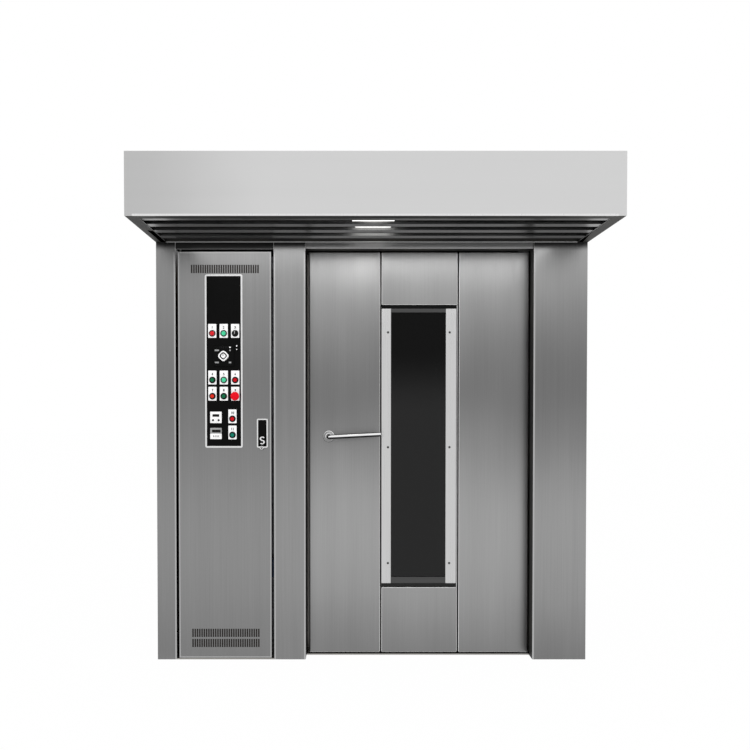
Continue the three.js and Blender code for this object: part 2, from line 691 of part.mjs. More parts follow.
function buildHeating() {
  const drumBack = DRUM_FRONT + DRUM_LENGTH;
  const collectorY = [DRUM_FRONT + 50, drumBack - 20];
  const half = DRUM_RADIUS;
  const collectorX = [SIDE_X - half, SIDE_X + half];
  const collectorZ = [COLLECTOR_BOTTOM, COLLECTOR_BOTTOM + COLLECTOR_HEIGHT];
  const tubePlaces = range(TUBE_ROWS).flatMap((row) =>
    [-1, 1].map((side) => [
      SIDE_X + side * 75,
      (collectorY[0] + collectorY[1]) / 2 + (row - (TUBE_ROWS - 1) / 2) * TUBE_PITCH,
    ]),
  );
  const tubeSpan = [DRUM_HEIGHT + DRUM_RADIUS * 0.6, COLLECTOR_BOTTOM + 1];
  const legs = [DRUM_FRONT + 120, drumBack - 140].map((y) =>
    block([SIDE_X - 130, SIDE_X + 130], [y, y + 20], [FLOOR_TOP, DRUM_HEIGHT - DRUM_RADIUS * 0.7]),
  );
  const flueTop = HEIGHT - SEAT;
  const outside = join(
    rod("y", DRUM_RADIUS, [DRUM_FRONT, drumBack], [SIDE_X, DRUM_HEIGHT], 18),
    block(collectorX, collectorY, collectorZ),
    rod("z", FLUE_RADIUS, [collectorZ[1] - 1, flueTop], [SIDE_X, FLUE_Y]),
    ...tubePlaces.map((place) => rod("z", TUBE_RADIUS, tubeSpan, place, 8)),
    ...legs,
  );
  const wall = DRUM_WALL;
  const inside = join(
    rod("y", DRUM_RADIUS - wall, [DRUM_FRONT - 1, drumBack - wall], [SIDE_X, DRUM_HEIGHT], 18),
    block(
      [collectorX[0] + wall, collectorX[1] - wall],
      [collectorY[0] + wall, collectorY[1] - wall],
      [collectorZ[0] + wall, collectorZ[1] - wall],
    ),
    rod("z", FLUE_RADIUS - TUBE_WALL, [collectorZ[1] - 2 * wall, HEIGHT], [SIDE_X, FLUE_Y]),
    ...tubePlaces.map((place) =>
      rod("z", TUBE_RADIUS - TUBE_WALL, [DRUM_HEIGHT, COLLECTOR_BOTTOM + 2 * wall], place, 8),
    ),
  );
  place(oven, "heat_exchanger", cut(outside, inside), heatSteel);

  // The burner stands in the control cabinet and fires through the bulkhead.
  const flangeBack = CHAMBER_FRONT - SEAT;
  const tubeEnd = DRUM_FRONT + 40;
  const burner = join(
    block([SIDE_X - 100, SIDE_X + 100], [FRONT + 60, flangeBack - 15], [DRUM_HEIGHT - 95, DRUM_HEIGHT + 105]),
    rod("y", 80, [flangeBack - 16, flangeBack], [SIDE_X, DRUM_HEIGHT]),
    rod("y", BURNER_TUBE, [flangeBack - 1, tubeEnd], [SIDE_X, DRUM_HEIGHT]),
    rod("x", 70, [SIDE_X - 150, SIDE_X - 90], [flangeBack - 71, DRUM_HEIGHT]),
    block([SIDE_X + 90, SIDE_X + 130], [FRONT + 80, FRONT + 150], [DRUM_HEIGHT - 60, DRUM_HEIGHT + 20]),
  );
  place(oven, "burner", burner, bluePaint);

  // Cast gutters, one over the other, boil the water that runs down them into steam.
  const steamY = [drumBack + 80, drumBack + 260];
  const steamX = [WOOL_INNER_LEFT + 25, DUCT_LEFT - 25];
  const steamTop = 120 + STEAM_TRAYS * STEAM_TRAY_PITCH;
  const cheeks = [
    [steamX[0], steamX[0] + 5],
    [steamX[1] - 5, steamX[1]],
  ].map((x) => block(x, steamY, [FLOOR_TOP, steamTop]));
  const gutters = range(STEAM_TRAYS).map((i) => {
    const z = 140 + i * STEAM_TRAY_PITCH;
    const gutter = block([steamX[0] + 1, steamX[1] - 1], [steamY[0] + 10, steamY[1] - 10], [z, z + 40]);
    const trough = block(
      [steamX[0] + 20, steamX[1] - 20],
      [steamY[0] + 22, steamY[1] - 22],
      [z + 12, z + 50],
    );
    return cut(gutter, trough);
  });
  place(oven, "steam_generator", join(...cheeks, ...gutters), castIron);

  const motorBottom = ROOF_HEIGHT + SEAT;
  const motor = cut(
    join(
      rod("z", FAN_MOTOR_RADIUS + 20, [motorBottom, motorBottom + 12], [SIDE_X, FAN_Y], 20),
      rod("z", FAN_MOTOR_RADIUS, [motorBottom, motorBottom + FAN_MOTOR_HEIGHT - 30], [SIDE_X, FAN_Y], 20),
      rod("z", FAN_MOTOR_RADIUS - 6, [motorBottom, motorBottom + FAN_MOTOR_HEIGHT], [SIDE_X, FAN_Y], 20),
      block([SIDE_X - 125, SIDE_X], [FAN_Y - 35, FAN_Y + 35], [motorBottom + 50, motorBottom + 120]),
    ),
    rod("z", FAN_SHAFT_RADIUS + RUNNING, [motorBottom - 1, motorBottom + 30], [SIDE_X, FAN_Y], 20),
  );
  place(oven, "circulation_fan_motor", motor, bluePaint);

  const fan = groupAt(oven, SIDE_X, FAN_Y, 0);
  const wheel = impeller(FAN_RADIUS, [FAN_TOP - FAN_HEIGHT, FAN_TOP], FAN_BLADES, 0, 30);
  const shaft = rod("z", FAN_SHAFT_RADIUS, [FAN_TOP - FAN_HEIGHT / 2, motorBottom + 29], [0, 0], 20);
  place(fan, "circulation_fan_impeller", join(wheel, shaft), heatSteel);
}

// ---------------------------------------------------------------- rack drive

const pitchRadius = (teeth) => CHAIN_PITCH / (2 * Math.sin(Math.PI / teeth));

/** A chain wheel's outline: a low and a high point pair for each tooth. */
function sprocketShape(teeth) {
  const tip = pitchRadius(teeth) + TOOTH_HEIGHT / 2;
  const root = tip - TOOTH_HEIGHT;
  const shares = [
    [-0.34, root],
    [-0.12, tip],
    [0.12, tip],
    [0.34, root],
  ];
  const points = range(teeth).flatMap((tooth) =>
    shares.map(([share, radius]) => {
      const angle = (2 * Math.PI * (tooth + share)) / teeth;
      return new THREE.Vector2(radius * Math.cos(angle), radius * Math.sin(angle));
    }),
  );
  return new THREE.Shape(points);
}

/** The belt-like outline round a circle at x = 0 and another at x = centres, both grown by an offset. */
function loopOutline(path, firstRadius, centres, secondRadius, offset) {
  const [r1, r2] = [firstRadius + offset, secondRadius + offset];
  const normal = Math.acos((r1 - r2) / centres); // direction of the upper straight run's normal
  path.absarc(0, 0, r1, normal, 2 * Math.PI - normal, false);
  path.absarc(centres, 0, r2, -normal, normal, false);
  path.closePath();
  return path;
}

function buildDrive() {
  const drive = groupAt(oven, RACK_X, RACK_Y, 0);
  const deck = ROOF_HEIGHT + SEAT;
  const bearingTop = deck + BEARING_HEIGHT;
  const half = BEARING_FLANGE / 2;
  const bearing = cut(
    join(
      block([-half, half], [-half, half], [deck, deck + 14]),
      rod("z", BEARING_RADIUS, [deck, bearingTop], [0, 0], 20),
    ),
    rod("z", SHAFT_RADIUS + RUNNING, [deck - 1, bearingTop + 1], [0, 0], 20),
  );
  place(drive, "shaft_bearing", bearing, castIron);

  const gearboxTop = deck + GEARBOX_HEIGHT;
  const gearHalf = GEARBOX / 2;
  const motorZ = deck + MOTOR_RADIUS + 2;
  const gearmotor = join(
    block([DRIVE_X - gearHalf, DRIVE_X + gearHalf], [-gearHalf, gearHalf], [deck, gearboxTop]),
    rod("z", DRIVE_SHAFT_RADIUS, [gearboxTop - 1, SPROCKET_BASE + SPROCKET_THICKNESS + 8], [DRIVE_X, 0]),
    rod("y", MOTOR_RADIUS, [gearHalf + 30, gearHalf + MOTOR_LENGTH], [DRIVE_X, motorZ], 18),
    rod("y", MOTOR_RADIUS - 12, [gearHalf - 1, gearHalf + 31], [DRIVE_X, motorZ], 18),
    block(
      [DRIVE_X - 95, DRIVE_X],
      [gearHalf + 80, gearHalf + 160],
      [motorZ - 30, motorZ + 30],
    ),
  );
  place(drive, "gearmotor", gearmotor, bluePaint);

  const wheelZ = [SPROCKET_BASE, SPROCKET_BASE + SPROCKET_THICKNESS];
  const driveWheel = cut(
    join(
      extrudeAlongZ(sprocketShape(DRIVE_TEETH), wheelZ),
      rod("z", 26, [gearboxTop + SEAT, SPROCKET_BASE + 1], [0, 0]),
    ),
    rod("z", DRIVE_SHAFT_RADIUS + RUNNING, [gearboxTop - 1, wheelZ[1] + 1], [0, 0]),
  );
  const driveWheelGroup = groupAt(drive, DRIVE_X, 0, 0);
  place(driveWheelGroup, "drive_sprocket", driveWheel, castIron);

  const [big, small] = [RACK_TEETH, DRIVE_TEETH].map((teeth) => pitchRadius(teeth) + TOOTH_HEIGHT / 2);
  const loop = loopOutline(new THREE.Shape(), small, CHAIN_CENTRES, big, CHAIN_THICKNESS + 2 * RUNNING);
  loop.holes.push(loopOutline(new THREE.Path(), small, CHAIN_CENTRES, big, 2 * RUNNING));
  const chain = extrudeAlongZ(loop, [wheelZ[0] + 1, wheelZ[1] - 1], 12);
  place(driveWheelGroup, "drive_chain", chain, heatSteel);
}

// ---------------------------------------------------------------- rack

function buildRack() {
  const rack = groupAt(oven, RACK_X, RACK_Y, 0);
  const bearingTop = ROOF_HEIGHT + SEAT + BEARING_HEIGHT;
  const [yokeX, yokeY] = [YOKE_WIDTH / 2, YOKE_DEPTH / 2];
  const yokeTray = [YOKE_BOTTOM, YOKE_BOTTOM + YOKE_PLATE];
  const slot = STEM_RADIUS + 3;
  const shaft = join(
    rod("z", SHAFT_RADIUS, [YOKE_TOP - 1, SHAFT_TOP], [0, 0], 20),
    rod("z", COLLAR_RADIUS, [bearingTop + SEAT, SPROCKET_BASE + 1], [0, 0], 20),
    extrudeAlongZ(sprocketShape(RACK_TEETH), [SPROCKET_BASE, SPROCKET_BASE + SPROCKET_THICKNESS]),
    block([-yokeX, yokeX], [-yokeY, yokeY], [YOKE_TOP - YOKE_PLATE, YOKE_TOP]),
    block([-yokeX, -yokeX + YOKE_PLATE], [-yokeY, yokeY], [YOKE_BOTTOM, YOKE_TOP]),
    block([yokeX - YOKE_PLATE, yokeX], [-yokeY, yokeY], [YOKE_BOTTOM, YOKE_TOP]),
    cut(
      block([-yokeX, yokeX], [-yokeY, yokeY], yokeTray),
      block([-slot, slot], [-yokeY - 1, slot], [YOKE_BOTTOM - 1, YOKE_BOTTOM + YOKE_PLATE + 1]),
    ),
  );
  place(rack, "rack_shaft", shaft, heatSteel);
  buildTrolley(rack);
}

/** Each side's runners are welded to two upright flats that lie against the posts' inner faces. */
function buildRunners(rack, faceX, halfY) {
  const runnerZ = (i) => RUNNER_FIRST + i * RUNNER_PITCH;
  const uprightZ = [runnerZ(0) - RUNNER_WIDTH, runnerZ(RUNNER_COUNT - 1) + RUNNER_WIDTH];
  for (const [side, name] of [[-1, "rack_runners_left"], [1, "rack_runners_right"]]) {
    const spanX = (depth) => [side * faceX, side * (faceX - depth)].sort((a, b) => a - b);
    const uprights = [-halfY, halfY - RACK_POST].map((y) =>
      block(spanX(RUNNER_THICKNESS), [y, y + RACK_POST], uprightZ),
    );
    const runners = range(RUNNER_COUNT).map((i) =>
      block(spanX(RUNNER_WIDTH), [-halfY + 5, halfY - 5], [runnerZ(i), runnerZ(i) + RUNNER_THICKNESS]),
    );
    place(rack, name, join(...uprights, ...runners), brushedSteel);
  }
}

function buildTrolley(rack) {
  const [halfX, halfY] = [RACK_WIDTH / 2, RACK_DEPTH / 2];
  const post = RACK_POST;
  const frameZ = [RACK_FOOT, RACK_FOOT + post];
  const topZ = [RACK_TOP - post, RACK_TOP];
  const sides = [-1, 1];
  const spanX = (side) => (side < 0 ? [-halfX, -halfX + post] : [halfX - post, halfX]);
  const spanY = (side) => (side < 0 ? [-halfY, -halfY + post] : [halfY - post, halfY]);

  const posts = sides.flatMap((sx) => sides.map((sy) => block(spanX(sx), spanY(sy), [RACK_FOOT, RACK_TOP])));
  const rails = [frameZ, topZ].flatMap((z) => [
    ...sides.map((sx) => block(spanX(sx), [-halfY, halfY], z)),
    ...sides.map((sy) => block([-halfX, halfX], spanY(sy), z)),
  ]);
  const headBottom = YOKE_BOTTOM + YOKE_PLATE + SEAT;
  const hanger = [
    block([-halfX, halfX], [-20, 20], topZ),
    rod("z", STEM_RADIUS, [RACK_TOP - 1, headBottom + 1], [0, 0]),
    rod("z", STEM_HEAD_RADIUS, [headBottom, headBottom + STEM_HEAD], [0, 0]),
  ];

  const wheelZ = FLOOR_PLATE + WHEEL_LIFT + WHEEL_RADIUS;
  const wheelPlaces = sides.flatMap((sx) =>
    sides.map((sy) => [sx * (halfX - post), sy * (halfY - post)]),
  );
  const forkHalf = WHEEL_WIDTH / 2 + 2;
  const forks = wheelPlaces.flatMap(([x, y]) => [
    block(
      [x - forkHalf - FORK_SHEET, x + forkHalf + FORK_SHEET],
      [y - 28, y + 28],
      [RACK_FOOT - FORK_SHEET, RACK_FOOT + 1],
    ),
    ...sides.map((side) => {
      const inner = x + side * forkHalf;
      const outer = inner + side * FORK_SHEET;
      return block(
        [Math.min(inner, outer), Math.max(inner, outer)],
        [y - 16, y + 16],
        [wheelZ - 12, RACK_FOOT],
      );
    }),
    rod("x", AXLE_RADIUS, [x - forkHalf - FORK_SHEET, x + forkHalf + FORK_SHEET], [y, wheelZ]),
  ]);
  place(rack, "rack_trolley", join(...posts, ...rails, ...hanger, ...forks), brushedSteel);
  buildRunners(rack, halfX - post - SEAT, halfY);

  const names = ["front_left", "rear_left", "front_right", "rear_right"];
  wheelPlaces.forEach(([x, y], i) => {
    const wheel = groupAt(rack, x, y, wheelZ);
    const half = WHEEL_WIDTH / 2;
    const tyre = cut(
      join(
        rod("x", WHEEL_RADIUS, [-half + 3, half - 3], [0, 0]),
        rod("x", WHEEL_RADIUS - 4, [-half, half], [0, 0]),
      ),
      rod("x", AXLE_RADIUS + RUNNING, [-half - 1, half + 1], [0, 0]),
    );
    place(wheel, "caster_wheel_" + names[i], tyre, blackPlastic);
  });
}

// ---------------------------------------------------------------- oven door

function buildOvenDoor() {
  const door = groupAt(oven, DOOR_LEFT, DOOR_FRONT, DOOR_BOTTOM);
  const width = [0, DOOR_WIDTH];
  const height = [0, DOOR_HEIGHT];
  const hinge = [DOOR_WIDTH - HINGE_INSET_X, HINGE_INSET_Y];
  const hingeBore = rod("z", HINGE_PIN_RADIUS + RUNNING, [-1, DOOR_HEIGHT + 1], hinge);
  const handleBore = rod(
    "y",
    SPINDLE_RADIUS + 3,
    [-1, 2 * SHEET],
    [HANDLE_X, HANDLE_HEIGHT - DOOR_BOTTOM],
  );
  const windowX = [WINDOW_LEFT, WINDOW_LEFT + WINDOW_WIDTH];
  const windowZ = [WINDOW_BOTTOM - DOOR_BOTTOM, WINDOW_TOP - DOOR_BOTTOM];
  const windowHole = block(windowX, [-1, DOOR_THICKNESS + 1], windowZ);

  let seamX = 0;
  const seams = DOOR_PANEL_WIDTHS.map((panelWidth) => {
    seamX += panelWidth;
    const seam = [seamX - DOOR_SEAM / 2, seamX + DOOR_SEAM / 2];
    return block(seam, [-1, DOOR_SEAM_DEPTH], [-1, DOOR_HEIGHT + 1]);
  });
  const outerSkin = tray(width, [0, DOOR_SKIN_DEPTH], height, "+y");
  place(door, "door_outer_skin", cut(outerSkin, windowHole, hingeBore, handleBore, ...seams), brushedSteel);

  // The inner skin carries the sleeve that lines the window opening as far as the outer glass.
  const trimBack = WINDOW_TRIM_THICKNESS - WINDOW_TRIM_PROUD;
  const glassBack = trimBack + SEAT + GLASS_THICKNESS;
  const innerSkin = tray(width, [DOOR_SKIN_DEPTH + SEAT, DOOR_THICKNESS], height, "-y");
  const sleeveDepth = [glassBack + SEAT, DOOR_THICKNESS];
  const grown = ([low, high], by) => [low - by, high + by];
  const sleeve = block(grown(windowX, -SEAT), sleeveDepth, grown(windowZ, -SEAT));
  const sleeveHole = block(
    grown(windowX, -SEAT - SHEET),
    [0, DOOR_THICKNESS + 1],
    grown(windowZ, -SEAT - SHEET),
  );
  place(door, "door_inner_skin", cut(join(innerSkin, sleeve), sleeveHole), brushedSteel);

  // The gasket's lower strip is a sweep just over the floor plate.
  const gasketX = [
    FRAME_LEFT - GASKET_ON_FRAME - DOOR_LEFT,
    FRAME_RIGHT + GASKET_ON_FRAME - DOOR_LEFT,
  ];
  const gasketZ = [0, FRAME_TOP + GASKET_ON_FRAME - DOOR_BOTTOM];
  const gasketY = [DOOR_THICKNESS + SEAT, FRAME_FRONT - DOOR_FRONT - SEAT];
  const gasket = cut(
    block(gasketX, gasketY, gasketZ),
    block(grown(gasketX, -GASKET_WIDTH), grown(gasketY, 1), grown(gasketZ, -GASKET_WIDTH)),
  );
  place(door, "door_gasket", gasket, rubber);

  buildWindow(door, windowX, windowZ);

  const rosette = cut(
    rod(
      "y",
      ROSETTE_RADIUS - 5,
      [-SEAT - ROSETTE_THICKNESS, -SEAT],
      [HANDLE_X, HANDLE_HEIGHT - DOOR_BOTTOM],
      32,
      ROSETTE_RADIUS,
    ),
    rod(
      "y",
      HANDLE_RADIUS + RUNNING,
      [-SEAT - ROSETTE_THICKNESS - 1, 1],
      [HANDLE_X, HANDLE_HEIGHT - DOOR_BOTTOM],
      24,
    ),
  );
  place(door, "handle_rosette", rosette, chrome);
  buildHandle(door);

  // Fixed pivots: each is a plate on the casing with a pin that enters the door's folded edge.
  const [pinX, pinY] = [DOOR_LEFT + hinge[0], DOOR_FRONT + hinge[1]];
  const plateX = [pinX - HINGE_PLATE + HINGE_INSET_X, pinX + HINGE_INSET_X];
  const plateY = [pinY - HINGE_INSET_Y, pinY + HINGE_PLATE - HINGE_INSET_Y];
  const doorTop = DOOR_BOTTOM + DOOR_HEIGHT;
  const pinUpper = rod("z", HINGE_PIN_RADIUS, [doorTop - HINGE_PIN_LENGTH, doorTop + 2], [pinX, pinY]);
  const plateUpper = block(plateX, plateY, [doorTop + 1.5, OVEN_OPENING_HEIGHT - SEAT]);
  place(oven, "door_hinge_upper", join(pinUpper, plateUpper), castIron);
  const pinLower = rod("z", HINGE_PIN_RADIUS, [FLOOR_TOP, DOOR_BOTTOM + HINGE_PIN_LENGTH], [pinX, pinY]);
  const plateLower = block(plateX, plateY, [FLOOR_TOP, DOOR_BOTTOM - SEAT]);
  place(oven, "door_hinge_lower", join(pinLower, plateLower), castIron);
}

function buildWindow(door, windowX, windowZ) {
  const clear = 1;
  const trimX = [windowX[0] + clear, windowX[1] - clear];
  const trimZ = [WINDOW_TRIM_BOTTOM - DOOR_BOTTOM, WINDOW_TRIM_TOP - DOOR_BOTTOM];
  const trimY = [-WINDOW_TRIM_PROUD, WINDOW_TRIM_THICKNESS - WINDOW_TRIM_PROUD];
  const sightX = [trimX[0] + WINDOW_TRIM_LEFT, trimX[1] - WINDOW_TRIM_RIGHT];
  const sightZ = [trimZ[0] + WINDOW_STRIP_BOTTOM, trimZ[1] - WINDOW_STRIP_TOP];
  const ring = cut(block(trimX, trimY, trimZ), block(sightX, [trimY[0] - 1, trimY[1] + 1], sightZ));
  const screwX = [sightX[0] - TRIM_SCREW_FROM_GLASS, sightX[1] + TRIM_SCREW_FROM_GLASS + 4];
  const screws = TRIM_SCREW_HEIGHTS.flatMap((z) =>
    screwX.map((x) =>
      rod("y", TRIM_SCREW_RADIUS, [trimY[0] - TRIM_SCREW_HEAD, trimY[0] + 1], [x, z - DOOR_BOTTOM], 12),
    ),
  );
  place(door, "window_frame", join(ring, ...screws), brightSteel);

  const glassX = [windowX[0] + clear, windowX[1] - clear];
  const glassZ = [windowZ[0] + clear, windowZ[1] - clear];
  const outerY = [trimY[1] + SEAT, trimY[1] + SEAT + GLASS_THICKNESS];
  place(door, "window_outer_glass", block(glassX, outerY, glassZ), glass);
  const inset = SHEET + 2 * SEAT;
  const innerY = [DOOR_THICKNESS - 12, DOOR_THICKNESS - 12 + GLASS_THICKNESS];
  place(
    door,
    "window_inner_glass",
    block(
      [windowX[0] + inset, windowX[1] - inset],
      innerY,
      [windowZ[0] + inset, windowZ[1] - inset],
    ),
    glass,
  );
}

/** A bent bar on a spindle that carries a cam between the door's skins. */
function buildHandle(door) {
  const handle = groupAt(door, HANDLE_X, 0, HANDLE_HEIGHT - DOOR_BOTTOM);
  handle.rotation.y = -degrees(HANDLE_TILT);
  const bendStart = new THREE.Vector3(0, -(HANDLE_STANDOFF - HANDLE_BEND), 0);
  const corner = new THREE.Vector3(0, -HANDLE_STANDOFF, 0);
  const bendEnd = new THREE.Vector3(HANDLE_BEND, -HANDLE_STANDOFF, 0);
  const tip = new THREE.Vector3(HANDLE_REACH, -HANDLE_STANDOFF, 0);
  const section = new THREE.Shape();
  section.absarc(0, 0, HANDLE_RADIUS, 0, 2 * Math.PI);
  const sweep = (curve, steps) =>
    new THREE.ExtrudeGeometry(section, { extrudePath: curve, steps, curveSegments: 5 });
  const route = new THREE.CatmullRomCurve3(
    [
      new THREE.Vector3(0, -SEAT - 2, 0),
      new THREE.Vector3(0, -HANDLE_STANDOFF / 3, 0),
      bendStart,
      new THREE.QuadraticBezierCurve3(bendStart, corner, bendEnd).getPoint(0.5),
      bendEnd,
      new THREE.Vector3(HANDLE_REACH / 2, -HANDLE_STANDOFF, 0),
      tip,
    ],
    false,
    "centripetal",
  );
  const bar = sweep(route, 18);
  const spindleEnd = DOOR_THICKNESS / 2 + 4;
  const spindle = rod("y", SPINDLE_RADIUS, [-SEAT - 4, spindleEnd], [0, 0], 20);
  const cam = block([-16, CAM_LENGTH - 16], [spindleEnd - 8, spindleEnd], [-12, 12]);
  place(handle, "handle_lever", join(bar, spindle, cam), chrome);
}

// ---------------------------------------------------------------- control cabinet's door

function buildControlDoor() {
  const width = CONTROL_OPENING - 2 * CONTROL_DOOR_GAP;
  const height = CONTROL_OPENING_HEIGHT - CONTROL_DOOR_GAP - CONTROL_DOOR_BOTTOM;
  const door = groupAt(oven, CONTROL_LEFT + CONTROL_DOOR_GAP, FRONT, CONTROL_DOOR_BOTTOM);
  const panelZ = PANEL_Z - CONTROL_DOOR_BOTTOM;
  const latchZ = LATCH_Z - CONTROL_DOOR_BOTTOM;

  const leaf = tray([0, width], [0, CONTROL_DOOR_THICKNESS], [0, height], "+y");
  const pins = [
    [-CONTROL_DOOR_BOTTOM + 1, 15],
    [height - 15, height + CONTROL_DOOR_GAP + 14],
  ].map((z) => rod("z", PIVOT_RADIUS, z, [PIVOT_INSET, PIVOT_INSET], 16));
  const slots = VENT_HEIGHTS.flatMap((z) =>
    range(VENT_COUNT).map((i) => {
      const x = VENT_LEFT + i * VENT_PITCH;
      const middle = z - CONTROL_DOOR_BOTTOM;
      return block(
        [x - VENT_SLOT_WIDTH / 2, x + VENT_SLOT_WIDTH / 2],
        [-1, 2 * SHEET],
        [middle - VENT_SLOT_HEIGHT / 2, middle + VENT_SLOT_HEIGHT / 2],
      );
    }),
  );
  const panelHole = block(
    [PANEL_X - PANEL_WIDTH / 2 + PANEL_FRAME, PANEL_X + PANEL_WIDTH / 2 - PANEL_FRAME],
    [-1, 2 * SHEET],
    [panelZ - PANEL_HEIGHT / 2 + PANEL_FRAME, panelZ + PANEL_HEIGHT / 2 - PANEL_FRAME],
  );
  const latchHole = block(
    [LATCH_X - LATCH_WIDTH / 2 + LATCH_RIM, LATCH_X + LATCH_WIDTH / 2 - LATCH_RIM],
    [-1, 2 * SHEET],
    [latchZ - LATCH_HEIGHT / 2 + LATCH_RIM, latchZ + LATCH_HEIGHT / 2 - LATCH_RIM],
  );
  place(
    door,
    "cabinet_door_panel",
    cut(join(leaf, ...pins), ...slots, panelHole, latchHole),
    brushedSteel,
  );
  buildPanel(groupAt(door, PANEL_X, 0, panelZ));
  buildLatch(groupAt(door, LATCH_X, 0, latchZ));
}

/** The control panel: y = 0 is the door's face, negative y is towards the user. */
function buildPanel(panel) {
  const inner = [PANEL_WIDTH - 2 * PANEL_FRAME - 2, PANEL_HEIGHT - 2 * PANEL_FRAME - 2];
  const face = -PANEL_PROUD + 2; // the black face lies 2 mm behind the frame's front
  const plateBack = face + PANEL_PLATE;
  const rim = extrudeAlongY(roundedRectangle(PANEL_WIDTH, PANEL_HEIGHT, 8), [-PANEL_PROUD, -SEAT], 2);
  const rimHole = extrudeAlongY(roundedRectangle(...inner, 4), [-PANEL_PROUD - 1, face], 2);
  const plate = extrudeAlongY(roundedRectangle(...inner, 4), [face, plateBack], 2);

  const buttons = [
    ["button_lower_left", -COLUMN_PITCH, ROW_LOWER, orangePlastic],
    ["button_lower_middle", 0, ROW_LOWER, greenPlastic],
    ["button_middle_left", -COLUMN_PITCH, ROW_MIDDLE, greenPlastic],
    ["button_middle_right", COLUMN_PITCH, ROW_MIDDLE, redPlastic],
    ["button_stack_upper", STACK_X, STACK_HEIGHTS[0], redPlastic],
    ["button_stack_lower", STACK_X, STACK_HEIGHTS[1], tealPlastic],
  ];
  const selector = [COLUMN_PITCH, ROW_UPPER];
  const mushroom = [COLUMN_PITCH, ROW_LOWER];
  const pilots = [
    [-COLUMN_PITCH, ROW_UPPER],
    [0, ROW_UPPER],
    [0, ROW_MIDDLE],
  ];
  const bored = [...buttons.map(([, x, z]) => [x, z]), selector, mushroom];

  const legends = [...bored, ...pilots].map(([x, z]) => {
    const middle = z + LEGEND_RISE;
    return block(
      [x - LEGEND_WIDTH / 2, x + LEGEND_WIDTH / 2],
      [face - LEGEND_PROUD, face + 1],
      [middle - LEGEND_HEIGHT / 2, middle + LEGEND_HEIGHT / 2],
    );
  });
  const bezels = [...bored, ...pilots].map((place) =>
    rod("y", BEZEL_RADIUS - 1.5, [face - BEZEL_PROUD, face + 1], place, 16, BEZEL_RADIUS),
  );
  const domes = pilots.map((place) =>
    rod("y", BUTTON_RADIUS - 3, [face - BEZEL_PROUD - LAMP_DOME_HEIGHT, face], place, 20, BUTTON_RADIUS),
  );
  const instruments = INSTRUMENT_HEIGHTS.map((z) =>
    block(
      [INSTRUMENT_X - INSTRUMENT_SIZE / 2, INSTRUMENT_X + INSTRUMENT_SIZE / 2],
      [face - INSTRUMENT_PROUD, face + 1],
      [z - INSTRUMENT_SIZE / 2, z + INSTRUMENT_SIZE / 2],
    ),
  );
  const bores = bored.map((place) =>
    rod("y", BUTTON_RADIUS + RUNNING, [face - BEZEL_PROUD - 1, plateBack + 1], place, 20),
  );
  const body = CONTROLLER_SIZE / 2 - 3;
  const controllerHole = block(
    [-body, body],
    [face - 1, plateBack + 1],
    [CONTROLLER_HEIGHT - body, CONTROLLER_HEIGHT + body],
  );
  const whole = join(cut(rim, rimHole), plate, ...legends, ...bezels, ...domes, ...instruments);
  place(panel, "control_panel", cut(whole, controllerHole, ...bores), blackPlastic);

  // Push buttons: a cap and stem with a collar behind the plate that holds them in.
  const stemBack = plateBack + BUTTON_STEM / 2;
  const capFront = face - BEZEL_PROUD - BUTTON_PROUD;
  const collar = (place) => rod("y", BUTTON_RADIUS + 2, [plateBack + SEAT, plateBack + SEAT + 3], place, 20);
  buttons.forEach(([name, x, z, material]) => {
    const button = groupAt(panel, x, 0, z);
    const cap = rod("y", BUTTON_RADIUS, [capFront, stemBack], [0, 0], 20);
    place(button, name, join(cap, collar([0, 0])), material);
  });

  const mushroomGroup = groupAt(panel, mushroom[0], 0, mushroom[1]);
  const headBack = face - BEZEL_PROUD - MUSHROOM_TRAVEL - 2;
  const head = join(
    rod("y", MUSHROOM_RADIUS - 4, [headBack - 12, headBack - 6], [0, 0], 28, MUSHROOM_RADIUS),
    rod("y", MUSHROOM_RADIUS, [headBack - 6, headBack], [0, 0], 18),
    rod("y", BUTTON_RADIUS, [headBack - 1, stemBack], [0, 0], 20),
    collar([0, 0]),
  );
  place(mushroomGroup, "emergency_stop", head, redPlastic);

  const selectorGroup = groupAt(panel, selector[0], 0, selector[1]);
  const knobBack = face - BEZEL_PROUD - SEAT;
  const lever = join(
    rod("y", SELECTOR_RADIUS, [knobBack - 4, knobBack], [0, 0], 16),
    block([-4, 4], [knobBack - 15, knobBack - 1], [-SELECTOR_RADIUS, SELECTOR_RADIUS]),
    rod("y", BUTTON_RADIUS, [knobBack - 1, stemBack], [0, 0], 20),
    collar([0, 0]),
  );
  place(selectorGroup, "selector_switch", lever, blackPlastic);

  // The temperature controller is let in from the front, its knob turns on a stub in its face.
  const controller = groupAt(panel, 0, face - SEAT, CONTROLLER_HEIGHT);
  const half = CONTROLLER_SIZE / 2;
  const bezel = block([-half, half], [-CONTROLLER_PROUD, 0], [-half, half]);
  const caseHalf = body - SEAT;
  const box = block([-caseHalf, caseHalf], [-1, CONTROLLER_DEPTH], [-caseHalf, caseHalf]);
  const bore = rod("y", 4 + RUNNING, [-CONTROLLER_PROUD - 1, 8], [0, 0], 16);
  place(controller, "temperature_controller", cut(join(bezel, box), bore), blackPlastic);
  const knobY = [-CONTROLLER_PROUD - SEAT - KNOB_DEPTH, -CONTROLLER_PROUD - SEAT];
  const knob = join(
    rod("y", KNOB_RADIUS - 3, knobY, [0, 0], 20, KNOB_RADIUS),
    rod("y", 4, [knobY[1] - 1, 7], [0, 0], 16),
    block([-2, 2], [knobY[0] - 3, knobY[0] + 1], [-KNOB_RADIUS + 6, KNOB_RADIUS - 6]),
  );
  place(controller, "controller_knob", knob, lampLens);
}

